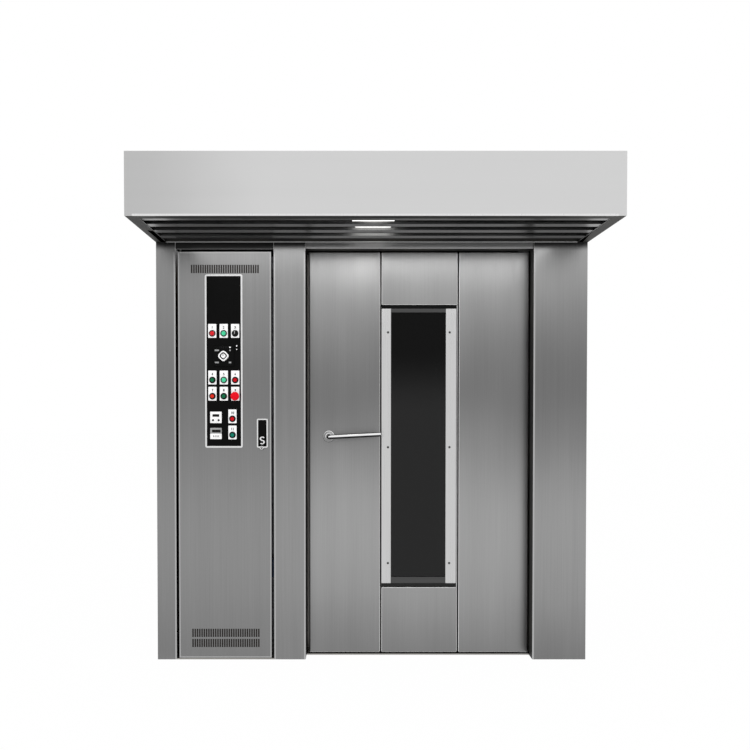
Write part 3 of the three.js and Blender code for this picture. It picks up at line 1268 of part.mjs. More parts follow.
/** The cabinet latch: a rimmed pocket with a lever that swings out about a pin at its top. */
function buildLatch(latch) {
  const [halfX, halfZ] = [LATCH_WIDTH / 2, LATCH_HEIGHT / 2];
  const [pocketX, pocketZ] = [halfX - LATCH_RIM, halfZ - LATCH_RIM];
  const pocketBack = -LATCH_PROUD + PADDLE_THICKNESS + 2;
  const housing = cut(
    join(
      extrudeAlongY(roundedRectangle(LATCH_WIDTH, LATCH_HEIGHT, 6), [-LATCH_PROUD, -SEAT], 2),
      block([-pocketX + SEAT, pocketX - SEAT], [-1, 14], [-pocketZ + SEAT, pocketZ - SEAT]),
    ),
    block(
      [-pocketX + 2, pocketX - 2],
      [-LATCH_PROUD - 1, pocketBack],
      [-pocketZ + 2, pocketZ - 2],
    ),
  );
  place(latch, "latch_housing", housing, chrome);

  // The lever's top end is round about its pin, so it clears the pocket as it swings.
  const round = PADDLE_THICKNESS / 2;
  const pinZ = pocketZ - 2 - round - 1;
  const pinY = -LATCH_PROUD + round + 0.5;
  const leverHalf = pocketX - 2 - 1.5;
  const leverGroup = groupAt(latch, 0, pinY, pinZ);
  const lever = join(
    block([-leverHalf, leverHalf], [-round, round], [-2 * pocketZ + 10, 0]),
    rod("x", round, [-leverHalf, leverHalf], [0, 0], 16),
    rod("x", 1.5, [-pocketX + 2 + SEAT, pocketX - 2 - SEAT], [0, 0], 12),
  );
  place(leverGroup, "latch_lever", lever, blackPlastic);
}

// ---------------------------------------------------------------- the whole oven

buildCasing();
buildHood();
buildChamber();
buildHeating();
buildDrive();
buildRack();
buildOvenDoor();
buildControlDoor();

export default oven;
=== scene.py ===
"""A rotating rack oven in brushed stainless steel, dressed piece by piece around its fixed model.

Metres, +Z up. The doors and the hood face -Y. Sizes are written in millimetres times MM.
"""

import json
import logging
import math
from dataclasses import dataclass
from enum import Enum
from types import SimpleNamespace
from typing import Callable, Iterable, Optional, Sequence

import bmesh
import bpy
import numpy as np
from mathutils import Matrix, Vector


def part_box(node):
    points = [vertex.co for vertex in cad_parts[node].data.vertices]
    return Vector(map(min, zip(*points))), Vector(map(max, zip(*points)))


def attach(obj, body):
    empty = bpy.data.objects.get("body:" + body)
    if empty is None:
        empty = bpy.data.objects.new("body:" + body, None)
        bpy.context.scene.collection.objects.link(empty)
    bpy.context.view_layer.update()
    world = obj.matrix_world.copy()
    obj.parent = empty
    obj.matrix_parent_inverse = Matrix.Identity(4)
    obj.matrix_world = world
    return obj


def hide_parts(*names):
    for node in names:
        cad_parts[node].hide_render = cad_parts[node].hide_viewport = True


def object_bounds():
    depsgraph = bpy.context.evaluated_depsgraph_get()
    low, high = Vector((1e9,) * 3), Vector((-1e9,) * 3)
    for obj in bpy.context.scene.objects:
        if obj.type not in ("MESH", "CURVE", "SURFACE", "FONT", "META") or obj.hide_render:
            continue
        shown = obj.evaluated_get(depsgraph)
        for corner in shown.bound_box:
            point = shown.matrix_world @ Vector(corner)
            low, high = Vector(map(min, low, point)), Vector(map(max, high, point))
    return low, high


LOG = logging.getLogger("rack_oven")
MM = 0.001
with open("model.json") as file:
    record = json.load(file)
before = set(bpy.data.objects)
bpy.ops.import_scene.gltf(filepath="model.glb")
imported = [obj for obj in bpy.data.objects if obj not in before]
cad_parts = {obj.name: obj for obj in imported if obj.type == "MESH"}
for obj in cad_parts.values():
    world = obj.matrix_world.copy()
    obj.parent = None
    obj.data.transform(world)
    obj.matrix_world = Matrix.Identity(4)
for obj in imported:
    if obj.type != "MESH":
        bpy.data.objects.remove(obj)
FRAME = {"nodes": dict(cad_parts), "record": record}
CAD_BOX = [list(map(float, corner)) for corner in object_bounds()]
RECORD = FRAME["record"]
BODY_OF = {node: body for body, nodes in RECORD["behaviour"]["bodies"].items() for node in nodes}
FRONT_Y = float(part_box("centre_post")[0][1])  # the posts' front, in metres
SWITCHES_Y = -0.3115  # the face of the bulkhead's sheet, in metres

Array = np.ndarray
Point = Sequence[float]
Material = bpy.types.Material
NodeTree = bpy.types.NodeTree
Socket = bpy.types.NodeSocket


# ------------------------------------------------------------------ shapes


def mm(rows: Sequence[Point]) -> list[tuple]:
    """Rows of millimetre values as rows in metres."""
    return [tuple(value * MM for value in row) for row in rows]


def raised(flat: Array, level: float) -> Array:
    """A flat outline as a ring of points at one level."""
    return np.column_stack([flat, np.full(len(flat), level)])


class Facing(Enum):
    """Which way a shape's own depth axis looks: each value gives its right, up and outward directions."""

    FRONT = ((1, 0, 0), (0, 0, 1), (0, -1, 0))
    BACK = ((-1, 0, 0), (0, 0, 1), (0, 1, 0))
    LEFT = ((0, -1, 0), (0, 0, 1), (-1, 0, 0))
    RIGHT = ((0, 1, 0), (0, 0, 1), (1, 0, 0))
    TOP = ((1, 0, 0), (0, 1, 0), (0, 0, 1))

    def place(self, local: Array, centre: Point) -> Array:
        """Turns points from right, up and outward into the oven's own axes, round a centre."""
        return local @ np.array(self.value, float) + np.asarray(centre, float)


@dataclass
class Surface:
    """One closed skin: its points and its faces."""

    points: Array
    faces: list


def lofted(rings: Array, caps: bool = True) -> Surface:
    """A skin through closed rings, each joined to the next by quads, with flat ends.

    Args:
        rings: array of shape (rings, points in a ring, 3).
        caps: whether the first and the last ring are filled.
    Returns:
        The closed surface.
    """
    count, size = rings.shape[:2]
    index = np.arange(count * size).reshape(count, size)
    after = np.roll(index, -1, axis=1)
    quads = np.stack([index[:-1], after[:-1], after[1:], index[1:]], axis=-1).reshape(-1, 4)
    faces = quads.tolist()
    if caps:
        faces += [index[0][::-1].tolist(), index[-1].tolist()]
    return Surface(rings.reshape(-1, 3), faces)


def outline(width: float, height: float, radius: float, arc: int = 5) -> Array:
    """A rectangle with round corners: each corner is an arc of the given radius about its own centre.

    Args:
        width: size along the first axis.
        height: size along the second axis.
        radius: radius of the corners.
        arc: points in each corner.
    Returns:
        The outline's points, of shape (points, 2).
    """
    radius = min(radius, width / 2, height / 2)
    turn = np.linspace(0, math.pi / 2, arc)
    corners = []
    for quarter, (sx, sy) in enumerate(((1, 1), (-1, 1), (-1, -1), (1, -1))):
        angle = turn + quarter * math.pi / 2
        x = sx * (width / 2 - radius) + radius * np.cos(angle)
        y = sy * (height / 2 - radius) + radius * np.sin(angle)
        corners.append(np.stack([x, y], axis=1))
    return np.concatenate(corners)


def pressed(
    centre: Point,
    size: Sequence[float],
    edge: float,
    corner: float = 0.0,
    facing: Facing = Facing.FRONT,
    steps: int = 4,
) -> Surface:
    """A slab whose front edge is rounded all round, as a folded or a moulded piece has it.

    The front edge is a quarter circle: at angle t the ring lies edge * (1 - sin t) further in and
    edge * (1 - cos t) behind the face. The back edge is rounded by a third of that.

    Args:
        centre: middle of the front face.
        size: width, height and depth.
        edge: radius of the front edge.
        corner: radius of the corners seen from the front.
        facing: the way the face looks.
        steps: rings in the rounded edge.
    Returns:
        The slab.
    """
    width, height, depth = size
    corner = max(corner, edge * 1.01)
    back = min(edge / 3, depth / 4)
    turn = np.linspace(0, math.pi / 2, steps)
    insets = np.concatenate([edge * (1 - np.sin(turn)), [0.0, back]])
    depths = np.concatenate([-edge * (1 - np.cos(turn)), [back - depth, -depth]])
    rings = []
    for inset, level in zip(insets, depths):
        rings.append(raised(outline(width - 2 * inset, height - 2 * inset, corner - inset), level))
    return lofted(facing.place(np.array(rings), centre))


def ringed(
    centre: Point,
    outer: Sequence[float],
    wall: float,
    depth: float,
    edge: float,
    corner: float,
    facing: Facing = Facing.FRONT,
) -> Surface:
    """A picture frame with a rounded front: a small half-round section carried round a rounded rectangle.

    Args:
        centre: middle of the frame, at its front.
        outer: width and height outside.
        wall: width of the frame's bar.
        depth: how far it reaches back.
        edge: radius of the bar's front edges.
        corner: outer corner radius.
        facing: the way it looks.
    Returns:
        The ring, closed on itself.
    """
    turn = np.linspace(0, math.pi / 2, 4)
    across, down = edge * (1 - np.sin(turn)), -edge * (1 - np.cos(turn))
    insets = np.concatenate([across[::-1], wall - across, [wall, 0.0]])
    levels = np.concatenate([down[::-1], down, [-depth, -depth]])
    least_corner = 0.3 * MM
    rings = []
    for inset, level in zip(insets, levels):
        flat = outline(outer[0] - 2 * inset, outer[1] - 2 * inset, max(corner - inset, least_corner))
        rings.append(raised(flat, level))
    rings.append(rings[0])
    return lofted(facing.place(np.array(rings), centre), caps=False)


def turned(
    profile: Sequence[Sequence[float]],
    centre: Point,
    facing: Facing = Facing.FRONT,
    sides: int = 40,
    lobes: int = 0,
    swell: float = 0.0,
    bore: bool = False,
) -> Surface:
    """A turned piece: each (radius, height) of the profile becomes a circle about the facing's axis.

    With lobes, the radius at angle t is multiplied by 1 - swell + swell * cos(lobes * t).

    Args:
        profile: radii and heights, from one end to the other.
        centre: point on the axis at height 0.
        facing: direction of the axis.
        sides: points in each circle.
        lobes: how many times the outline swells in a turn.
        swell: how far it swells, as a share of the radius.
        bore: whether the profile closes on itself round a bore, so that it needs no ends.
    Returns:
        The closed piece, its poles merged when it is built.
    """
    shape = np.asarray(profile, float)
    angle = np.linspace(0, 2 * math.pi, sides, endpoint=False)
    circle = np.stack([np.cos(angle), np.sin(angle)], axis=1)
    circle *= (1 - swell + swell * np.cos(lobes * angle))[:, None]
    rings = np.concatenate(
        [shape[:, None, :1] * circle[None], np.repeat(shape[:, None, 1:], sides, axis=1)],
        axis=2,
    )
    return lofted(facing.place(rings, centre), caps=not bore)


def swept(path: Array, radius: float, sides: int = 28, clear: Sequence[float] = (0.0, 0.0, 1.0)) -> Surface:
    """A round bar along a path: the circle stays square to the path and is carried on without twist.

    Args:
        path: points along the middle.
        radius: the bar's radius.
        sides: points in each circle.
        clear: a direction that the path never runs along.
    Returns:
        The bar, with domed ends.
    """
    ahead = np.gradient(path, axis=0)
    ahead /= np.linalg.norm(ahead, axis=1)[:, None]
    side = np.cross(ahead, clear)
    side /= np.linalg.norm(side, axis=1)[:, None]
    up = np.cross(side, ahead)
    angle = np.linspace(0, 2 * math.pi, sides, endpoint=False)
    circle = np.cos(angle)[None, :, None] * side[:, None] + np.sin(angle)[None, :, None] * up[:, None]
    rings = path[:, None] + radius * circle
    dome = np.sin(np.linspace(0, math.pi / 2, 5))[:-1]
    bulge = 0.4  # how far an end's dome stands out, as a share of the radius
    first = path[0] - ahead[0] * radius * dome[::-1, None, None] * bulge
    last = path[-1] + ahead[-1] * radius * dome[:, None, None] * bulge
    shrink = np.sqrt(1 - dome**2)
    start = first + radius * shrink[::-1, None, None] * circle[0]
    end = last + radius * shrink[:, None, None] * circle[-1]
    return lofted(np.concatenate([start, rings[1:-1], end]))


def finned(tip: float, depth: float, count: int, sides: int) -> Array:
    """Outline of a motor's ribbed body: the radius steps between the fins' tips and the core.

    Args:
        tip: radius over the fins.
        depth: how far the core lies below the tips.
        count: fins in a turn.
        sides: points in the outline.
    Returns:
        The outline's points, of shape (points, 2).
    """
    angle = np.linspace(0, 2 * math.pi, sides, endpoint=False)
    radius = (tip - depth) + depth * (np.cos(angle * count) > 0)
    return np.stack([radius * np.cos(angle), radius * np.sin(angle)], axis=1)


def bent(corners: Sequence[Sequence[float]], radius: float, steps: int = 10) -> Array:
    """A path of straight runs whose corners are rounded: each bend is a quadratic curve over its corner.

    Args:
        corners: the path's corner points.
        radius: how far before and after a corner its bend starts and ends.
        steps: points along each bend.
    Returns:
        The points of the path.
    """
    points = np.asarray(corners, float)
    path = [points[:1]]
    share = np.linspace(0, 1, steps)[:, None]
    for before, here, after in zip(points[:-2], points[1:-1], points[2:]):
        start = here + (before - here) / np.linalg.norm(before - here) * radius
        end = here + (after - here) / np.linalg.norm(after - here) * radius
        path.append((1 - share) ** 2 * start + 2 * share * (1 - share) * here + share**2 * end)
    path.append(points[-1:])
    return np.concatenate(path)


# ------------------------------------------------------------------ pieces


def finish_mesh(mesh: bpy.types.Mesh, sharp: float) -> None:
    """Merges doubles, turns the faces outwards and keeps edges over an angle sharp.

    Args:
        mesh: the mesh that is changed.
        sharp: the angle in degrees.
    """
    work = bmesh.new()
    work.from_mesh(mesh)
    bmesh.ops.remove_doubles(work, verts=work.verts, dist=1e-6)
    bmesh.ops.recalc_face_normals(work, faces=work.faces)
    for face in work.faces:
        face.smooth = True
    work.to_mesh(mesh)
    work.free()
    mesh.set_sharp_from_angle(angle=math.radians(sharp))


def choose(mesh: bpy.types.Mesh, rule: Callable[[Array, Array], Array]) -> None:
    """Gives a mesh's second finish to the faces that a rule picks.

    Args:
        mesh: the mesh, with two finishes.
        rule: takes the faces' middles and normals and says which are picked.
    """
    middles, normals = np.zeros(len(mesh.polygons) * 3), np.zeros(len(mesh.polygons) * 3)
    mesh.polygons.foreach_get("center", middles)
    mesh.polygons.foreach_get("normal", normals)
    picked = rule(middles.reshape(-1, 3), normals.reshape(-1, 3))
    mesh.polygons.foreach_set("material_index", picked.astype(np.int32))


SQUARE_ON = 0.97  # cosine over which a face looks along an axis, so that it isn't a rolled edge


def add_piece(
    name: str,
    surfaces: Iterable[Surface],
    material: Material,
    body: str,
    replaces: Sequence[str] = (),
    sharp: float = 38,
    fold: Optional[Material] = None,
) -> bpy.types.Object:
    """Builds one piece from its skins and hangs it on its body.

    Args:
        name: the piece's name.
        surfaces: the closed skins that make it up.
        material: its finish.
        body: the body that it moves with.
        replaces: the nodes that it stands for.
        sharp: edges over this angle in degrees stay sharp.
        fold: a second finish, for its rolled edges.
    Returns:
        The new object.
    """
    points, faces, start = [], [], 0
    for surface in surfaces:
        points.append(surface.points)
        faces += [[start + i for i in face] for face in surface.faces]
        start += len(surface.points)
    mesh = bpy.data.meshes.new(name)
    mesh.from_pydata(np.concatenate(points).tolist(), [], faces)
    finish_mesh(mesh, sharp)
    piece = bpy.data.objects.new(name, mesh)
    bpy.context.collection.objects.link(piece)
    mesh.materials.append(material)
    if fold:
        mesh.materials.append(fold)
        choose(mesh, lambda middles, normals: np.abs(normals).max(axis=1) < SQUARE_ON)
    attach(piece, body)
    if replaces:
        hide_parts(*replaces)
    LOG.info("%s rides on %s", name, body)
    return piece


def formed(
    node: str,
    material: Material,
    edge: float = 1.5 * MM,
    segments: int = 2,
    fold: Optional[Material] = None,
    inside: Optional[Material] = None,
    rule: Optional[Callable[[Array, Array, Array, Array], Array]] = None,
) -> bpy.types.Object:
    """A node's own shape with its edges rounded, as folded, cast or machined edges are.

    Args:
        node: the node that it stands for.
        material: its finish.
        edge: radius of the edges.
        segments: steps in each rounded edge.
        fold: finish of the rounded edges, where it isn't the same.
        inside: finish of the faces that the rule picks.
        rule: takes the faces' middles and normals and the node's lowest and highest corner.
    Returns:
        The new piece.
    """
    mesh = FRAME["nodes"][node].data.copy()
    mesh.name = node + "_formed"
    work = bmesh.new()
    work.from_mesh(mesh)
    bmesh.ops.remove_doubles(work, verts=work.verts, dist=1e-5)
    bmesh.ops.dissolve_limit(work, angle_limit=0.01, verts=work.verts, edges=work.edges)
    # A face round a hole runs back on itself, so it is split into convex ones before its edges are rounded.
    bmesh.ops.triangulate(work, faces=[f for f in work.faces if len(f.verts) > 4])
    bmesh.ops.join_triangles(
        work, faces=work.faces, angle_face_threshold=0.01, angle_shape_threshold=math.pi
    )
    for face in work.faces:
        face.smooth = True
    work.to_mesh(mesh)
    work.free()
    mesh.materials.clear()
    mesh.materials.append(material)
    mesh.set_sharp_from_angle(angle=math.radians(35))
    if inside:
        mesh.materials.append(inside)
        low, high, _ = middle(node)
        choose(mesh, lambda middles, normals: rule(middles, normals, low, high))
    piece = bpy.data.objects.new(node + "_formed", mesh)
    bpy.context.collection.objects.link(piece)
    bevel = piece.modifiers.new("rounded edges", "BEVEL")
    bevel.width = edge
    bevel.segments = segments
    bevel.limit_method = "ANGLE"
    bevel.angle_limit = math.radians(40)
    bevel.use_clamp_overlap = True
    bevel.harden_normals = True
    if fold:
        mesh.materials.append(fold)
        bevel.material = len(mesh.materials) - 1
    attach(piece, BODY_OF[node])
    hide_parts(node)
    LOG.info("%s takes rounded edges", node)
    return piece


def dress(node: str, material: Material) -> None:
    """Gives a node that keeps its own shape a better finish.

    Args:
        node: the node.
        material: its finish.
    """
    for slot in FRAME["nodes"][node].material_slots:
        slot.link = "OBJECT"
        slot.material = material


def middle(node: str) -> tuple[Array, Array, Array]:
    """A node's lowest corner, highest corner and middle at rest."""
    low, high = (np.array(corner, float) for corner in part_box(node))
    return low, high, (low + high) / 2


# ------------------------------------------------------------------ finishes


def linear(code: str) -> tuple[float, float, float, float]:
    """An sRGB hex colour as linear light.

    Args:
        code: the colour, as # and six digits.
    Returns:
        Red, green, blue and alpha.
    """
    parts = [int(code[i : i + 2], 16) / 255 for i in (1, 3, 5)]
    red, green, blue = (p / 12.92 if p <= 0.04045 else ((p + 0.055) / 1.055) ** 2.4 for p in parts)
    return red, green, blue, 1.0


def scaled(code: str, share: float) -> str:
    """A hex colour with each channel scaled by a share."""
    return "#" + "".join(f"{min(255, round(int(code[i : i + 2], 16) * share)):02x}" for i in (1, 3, 5))


def add_node(
    tree: NodeTree, kind: str, inputs: Optional[dict] = None, **settings: object
) -> bpy.types.Node:
    """Adds a shader node.

    Args:
        tree: the node tree.
        kind: the node's type name without its prefix.
        inputs: a value or a source socket for each named or numbered input.
        settings: attributes of the node.
    Returns:
        The node.
    """
    made = tree.nodes.new("ShaderNode" + kind)
    for key, value in settings.items():
        setattr(made, key, value)
    for key, value in (inputs or {}).items():
        if isinstance(value, Socket):
            tree.links.new(value, made.inputs[key])
        else:
            made.inputs[key].default_value = value
    return made


def tone_ramp(tree: NodeTree, factor: Socket, stops: Sequence[tuple]) -> Socket:
    """A smooth run of colours along a factor.

    Args:
        tree: the node tree.
        factor: the socket that runs from 0 to 1.
        stops: (place, hex colour) from low to high.
    Returns:
        The colour socket.
    """
    ramp = add_node(tree, "ValToRGB", {"Fac": factor})
    ramp.color_ramp.interpolation = "B_SPLINE" if len(stops) > 3 else "EASE"
    elements = ramp.color_ramp.elements
    while len(elements) < len(stops):
        elements.new(0.5)
    for element, (place, code) in zip(elements, stops):
        element.position = place
        element.color = linear(code)
    return ramp.outputs["Color"]


@dataclass(frozen=True)
class Finish:
    """What every finish has: a name, a colour and the gloss of its surface."""

    name: str
    colour: str
    roughness: float = 0.4
    metallic: float = 0.0

    def start(self) -> tuple[Material, NodeTree, bpy.types.Node, Socket]:
        """An empty material with its shader and the object coordinates.

        Returns:
            The material, its node tree, its shader and the coordinates' socket.
        """
        material = bpy.data.materials.new(self.name)
        material.use_nodes = True
        material.diffuse_color = linear(self.colour)
        tree = material.node_tree
        tree.nodes.clear()
        shader = add_node(
            tree,
            "BsdfPrincipled",
            {
                "Base Color": linear(self.colour),
                "Roughness": self.roughness,
                "Metallic": self.metallic,
            },
        )
        add_node(tree, "OutputMaterial", {"Surface": shader.outputs[0]})
        place = add_node(tree, "TexCoord").outputs["Object"]
        return material, tree, shader, place

    @staticmethod
    def grain(tree: NodeTree, place: Socket, scale: Point, detail: float = 2) -> Socket:
        """Noise stretched along each axis.

        Args:
            tree: the node tree.
            place: the coordinates' socket.
            scale: repeats per metre along each axis.
            detail: octaves of finer noise.
        Returns:
            The noise's socket.
        """
        mapping = add_node(tree, "Mapping", {"Vector": place, "Scale": tuple(scale)})
        noise = add_node(tree, "TexNoise", {"Vector": mapping.outputs[0], "Scale": 1.0, "Detail": detail})
        return noise.outputs["Fac"]

    @staticmethod
    def spread(tree: NodeTree, factor: Socket, low: float, high: float) -> Socket:
        """Noise, most of it between 0.3 and 0.7, spread to a range.

        Args:
            tree: the node tree.
            factor: the noise's socket.
            low: what 0.3 becomes.
            high: what 0.7 becomes.
        Returns:
            The spread socket.
        """
        ranged = add_node(
            tree,
            "MapRange",
            {"Value": factor, "From Min": 0.3, "From Max": 0.7, "To Min": low, "To Max": high},
        )
        return ranged.outputs["Result"]


@dataclass(frozen=True)
class BrushedSteel(Finish):
    """AISI 304 sheet with a belt-brushed grain.

    The fine scratches run one way. The soft bands across the grain that such a sheet mirrors are
    painted into its colour: bright below the hood, dark at breast height, brighter again over the floor.
    """

    metallic: float = 1.0
    roughness: float = 0.34
    bands: tuple = ()  # (place in metres, share of the colour) of the painted reflection bands, none for an even sheet
    across: int = 2  # axis that the bands are stacked along
    along: int = 2  # axis of the grain: 0 is X, 1 is Y, 2 is Z
    contrast: float = 0.05
    shade: float = 0.0  # height in metres above which the hood's shadow is painted on the sheet, 0 for none

    def material(self) -> Material:
        """Builds the finish and returns its material."""
        material, tree, shader, place = self.start()
        # Real scratches lie about 0.2 mm apart. They are drawn 4 mm apart, so that they show.
        scale = [1 / (4 * MM)] * 3
        scale[self.along] = 1 / (400 * MM)
        scratches = self.grain(tree, place, scale, 3)
        streaks = self.grain(tree, place, [s * 0.06 for s in scale])
        base = linear(self.colour)[:3]
        if self.bands:
            clouds = self.grain(tree, place, (2.6, 2.6, 1.6))
            way = add_node(tree, "SeparateXYZ", {"Vector": place}).outputs[self.across]
            drift = self.spread(tree, clouds, -0.05, 0.05)
            moved = add_node(tree, "Math", {0: way, 1: drift}, operation="ADD").outputs[0]
            first, last = self.bands[0][0], self.bands[-1][0]
            ends = {"Value": moved, "From Min": first, "From Max": last}
            share = add_node(tree, "MapRange", ends).outputs[0]
            stops = [((at - first) / (last - first), scaled(self.colour, part)) for at, part in self.bands]
            base = tone_ramp(tree, share, stops)
        lift = self.spread(tree, scratches, 1 - self.contrast, 1 + self.contrast)
        sway = self.spread(tree, streaks, 1 - self.contrast / 2, 1 + self.contrast / 2)
        both = add_node(tree, "Math", {0: lift, 1: sway}, operation="MULTIPLY").outputs[0]
        if self.shade:
            axes = add_node(tree, "SeparateXYZ", {"Vector": place}).outputs
            # Painted hood shadow: over 35 mm of height the sheet darkens to about an eighth of its tone.
            rise = {"Value": axes["Z"], "From Min": self.shade, "From Max": self.shade + 35 * MM}
            rise |= {"To Min": 1.0, "To Max": 0.12}
            hood_shadow = add_node(tree, "MapRange", rise, interpolation_type="SMOOTHSTEP").outputs[0]
            # The painted shadow lies on the front face alone: a millimetre behind it the sheet keeps its
            # tone.
            behind = {"Value": axes["Y"], "From Min": FRONT_Y + MM, "From Max": FRONT_Y + 4 * MM}
            shadow_free = add_node(tree, "MapRange", behind).outputs[0]
            hood_shadow = add_node(tree, "Math", {0: hood_shadow, 1: shadow_free}, operation="MAXIMUM").outputs[0]
            both = add_node(tree, "Math", {0: both, 1: hood_shadow}, operation="MULTIPLY").outputs[0]
        toned = add_node(tree, "VectorMath", {0: base, "Scale": both}, operation="SCALE").outputs[0]
        tree.links.new(toned, shader.inputs["Base Color"])
        rough = self.spread(tree, scratches, self.roughness - 0.06, self.roughness + 0.08)
        tree.links.new(rough, shader.inputs["Roughness"])
        bump = add_node(tree, "Bump", {"Height": scratches, "Strength": 0.12, "Distance": 0.05 * MM})
        tree.links.new(bump.outputs[0], shader.inputs["Normal"])
        return material


@dataclass(frozen=True)
class GrainedMetal(Finish):
    """Cast, galvanised or heat-stained metal: blotches of a second tone over a pitted surface."""

    second: str = "#404040"
    blotch: float = 30.0  # blotches per metre
    pit: float = 900.0  # pits per metre
    depth: float = 0.3  # depth of the pits, in millimetres
    crystals: bool = False

    def material(self) -> Material:
        """Builds the finish and returns its material."""
        material, tree, shader, place = self.start()
        if self.crystals:
            # Zinc spangle: crystals 10 to 20 mm across, each at its own tone.
            cells = add_node(tree, "TexVoronoi", {"Vector": place, "Scale": self.blotch})
            factor = add_node(tree, "SeparateColor", {"Color": cells.outputs["Color"]}).outputs[0]
        else:
            raw = self.grain(tree, place, (self.blotch,) * 3, 4)
            factor = self.spread(tree, raw, 0, 1)
        base = tone_ramp(tree, factor, [(0.1, self.colour), (0.9, self.second)])
        tree.links.new(base, shader.inputs["Base Color"])
        pits = self.grain(tree, place, (self.pit,) * 3, 2)
        rough = self.spread(tree, pits, self.roughness - 0.08, self.roughness + 0.08)
        tree.links.new(rough, shader.inputs["Roughness"])
        bump = add_node(tree, "Bump", {"Height": pits, "Strength": 0.35, "Distance": self.depth * MM})
        tree.links.new(bump.outputs[0], shader.inputs["Normal"])
        return material


@dataclass(frozen=True)
class Chrome(Finish):
    """Bright chromium plate over polished metal.

    Its reflection of the room is painted into its colour: dark where a face looks down at the ground
    or up at the far wall overhead, white where it looks out level. The painted tone follows the way each
    face looks, up or down.
    """

    metallic: float = 1.0
    roughness: float = 0.1

    def material(self) -> Material:
        """Builds the finish and returns its material."""
        material, tree, shader, place = self.start()
        way = add_node(tree, "TexCoord").outputs["Normal"]
        rise = add_node(tree, "SeparateXYZ", {"Vector": way}).outputs["Z"]
        share = add_node(tree, "MapRange", {"Value": rise, "From Min": -1.0, "From Max": 1.0}).outputs[0]
        # Painted reflection: a tone for each way a face looks, from straight down to straight up.
        stops = [
            (0.0, "#161617"), (0.25, "#101011"), (0.38, "#2a2b2c"), (0.47, "#e8e9ea"), (0.58, "#ffffff"),
            (0.76, "#f4f4f4"), (0.88, "#3a3a3b"), (1.0, "#1e1e1f"),
        ]
        tree.links.new(tone_ramp(tree, share, stops), shader.inputs["Base Color"])
        haze = self.grain(tree, place, (60, 60, 60), 2)
        tree.links.new(self.spread(tree, haze, 0.07, 0.15), shader.inputs["Roughness"])
        return material


@dataclass(frozen=True)
class Moulded(Finish):
    """Injection-moulded plastic, enamel or rubber: an even colour over a fine moulded texture."""

    texture: float = 1500.0  # texture grains per metre
    depth: float = 0.05  # in millimetres
    coat: float = 0.0
    glow: float = 0.0
    gloss: float = 0.3  # specular level: 0.5 is a bare plastic's, less is a matted one's

    def material(self) -> Material:
        """Builds the finish and returns its material."""
        material, tree, shader, place = self.start()
        red, green, blue, _ = linear(self.colour)
        shade = self.spread(tree, self.grain(tree, place, (35, 35, 35), 2), 0.93, 1.07)
        colour = add_node(tree, "CombineColor", {0: red, 1: green, 2: blue}).outputs[0]
        toned = add_node(tree, "VectorMath", {0: colour, "Scale": shade}, operation="SCALE").outputs[0]
        tree.links.new(toned, shader.inputs["Base Color"])
        fine = self.grain(tree, place, (self.texture,) * 3, 1)
        rough = self.spread(tree, fine, self.roughness - 0.05, self.roughness + 0.05)
        tree.links.new(rough, shader.inputs["Roughness"])
        bump = add_node(tree, "Bump", {"Height": fine, "Strength": 0.25, "Distance": self.depth * MM})
        tree.links.new(bump.outputs[0], shader.inputs["Normal"])
        shader.inputs["Specular IOR Level"].default_value = self.gloss
        shader.inputs["Coat Weight"].default_value = self.coat
        shader.inputs["Coat Roughness"].default_value = 0.08
        shader.inputs["Emission Color"].default_value = linear(self.colour)
        shader.inputs["Emission Strength"].default_value = self.glow
        return material


@dataclass(frozen=True)
class TintedGlass(Finish):
    """Toughened float glass with a grey body tint: dark, with a sharp gloss."""

    roughness: float = 0.03

    def material(self) -> Material:
        """Builds the finish and returns its material."""
        material, tree, shader, place = self.start()
        smear = self.grain(tree, place, (5, 5, 2.2), 2)
        rough = self.spread(tree, smear, 0.02, 0.07)
        tree.links.new(rough, shader.inputs["Roughness"])
        # Baking haze: a thin greasy film that thickens towards the bottom of the pane.
        height = add_node(tree, "SeparateXYZ", {"Vector": place}).outputs["Z"]
        fade = {"Value": height, "From Min": 1.15, "From Max": 1.45, "To Min": 0.42, "To Max": 0.0}
        film = add_node(tree, "MapRange", fade, interpolation_type="SMOOTHSTEP")
        tree.links.new(film.outputs[0], shader.inputs["Coat Weight"])
        shader.inputs["Coat Roughness"].default_value = 0.25
        shader.inputs["Transmission Weight"].default_value = 1.0
        # The pane's non-reflective coat leaves about a quarter of bare glass's mirror image.
        shader.inputs["IOR"].default_value = 1.2
        return material


@dataclass(frozen=True)
class MineralWool(Finish):
    """Slabs of bonded mineral wool: matted yellow-brown fibres with loose tufts."""

    roughness: float = 0.95

    def material(self) -> Material:
        """Builds the finish and returns its material."""
        material, tree, shader, place = self.start()
        fibres = self.grain(tree, place, (60, 400, 60), 5)
        tufts = self.grain(tree, place, (14, 14, 14), 4)
        base = tone_ramp(tree, self.spread(tree, fibres, 0, 1), [(0.1, "#8a7442"), (0.9, self.colour)])
        tree.links.new(base, shader.inputs["Base Color"])
        height = add_node(tree, "Math", {0: fibres, 1: tufts}, operation="ADD").outputs[0]
        bump = add_node(tree, "Bump", {"Height": height, "Strength": 0.8, "Distance": 4 * MM})
        tree.links.new(bump.outputs[0], shader.inputs["Normal"])
        return material


# The reflection painted into the brushed sheets, as (height in metres, share of the sheet's own tone). The
# painted reflection of the floor brightens them from the knee to the hip, the dark half of the room lies
# above that, and the lit hood's painted reflection brightens their top.
OVEN_PAINTED_REFLECTION = ((0.0, 0.8), (0.3, 1.0), (0.72, 1.1), (1.14, 0.75), (1.48, 0.8), (1.9, 1.2))
# The posts and the door of the cabinet carry the same painted bands half as strongly.
CABINET_PAINTED_REFLECTION = tuple((height, (1 + share) / 2) for height, share in OVEN_PAINTED_REFLECTION)
# Painted reflection along the hood: (place in metres, share), a tenth darker at its left end.
FASCIA_PAINTED_REFLECTION = ((-1.0, 0.9), (-0.4, 1.0))
HOOD_SHADOW_HEIGHT = 1.902  # metres above the ground where the hood's painted shadow starts to darken the posts
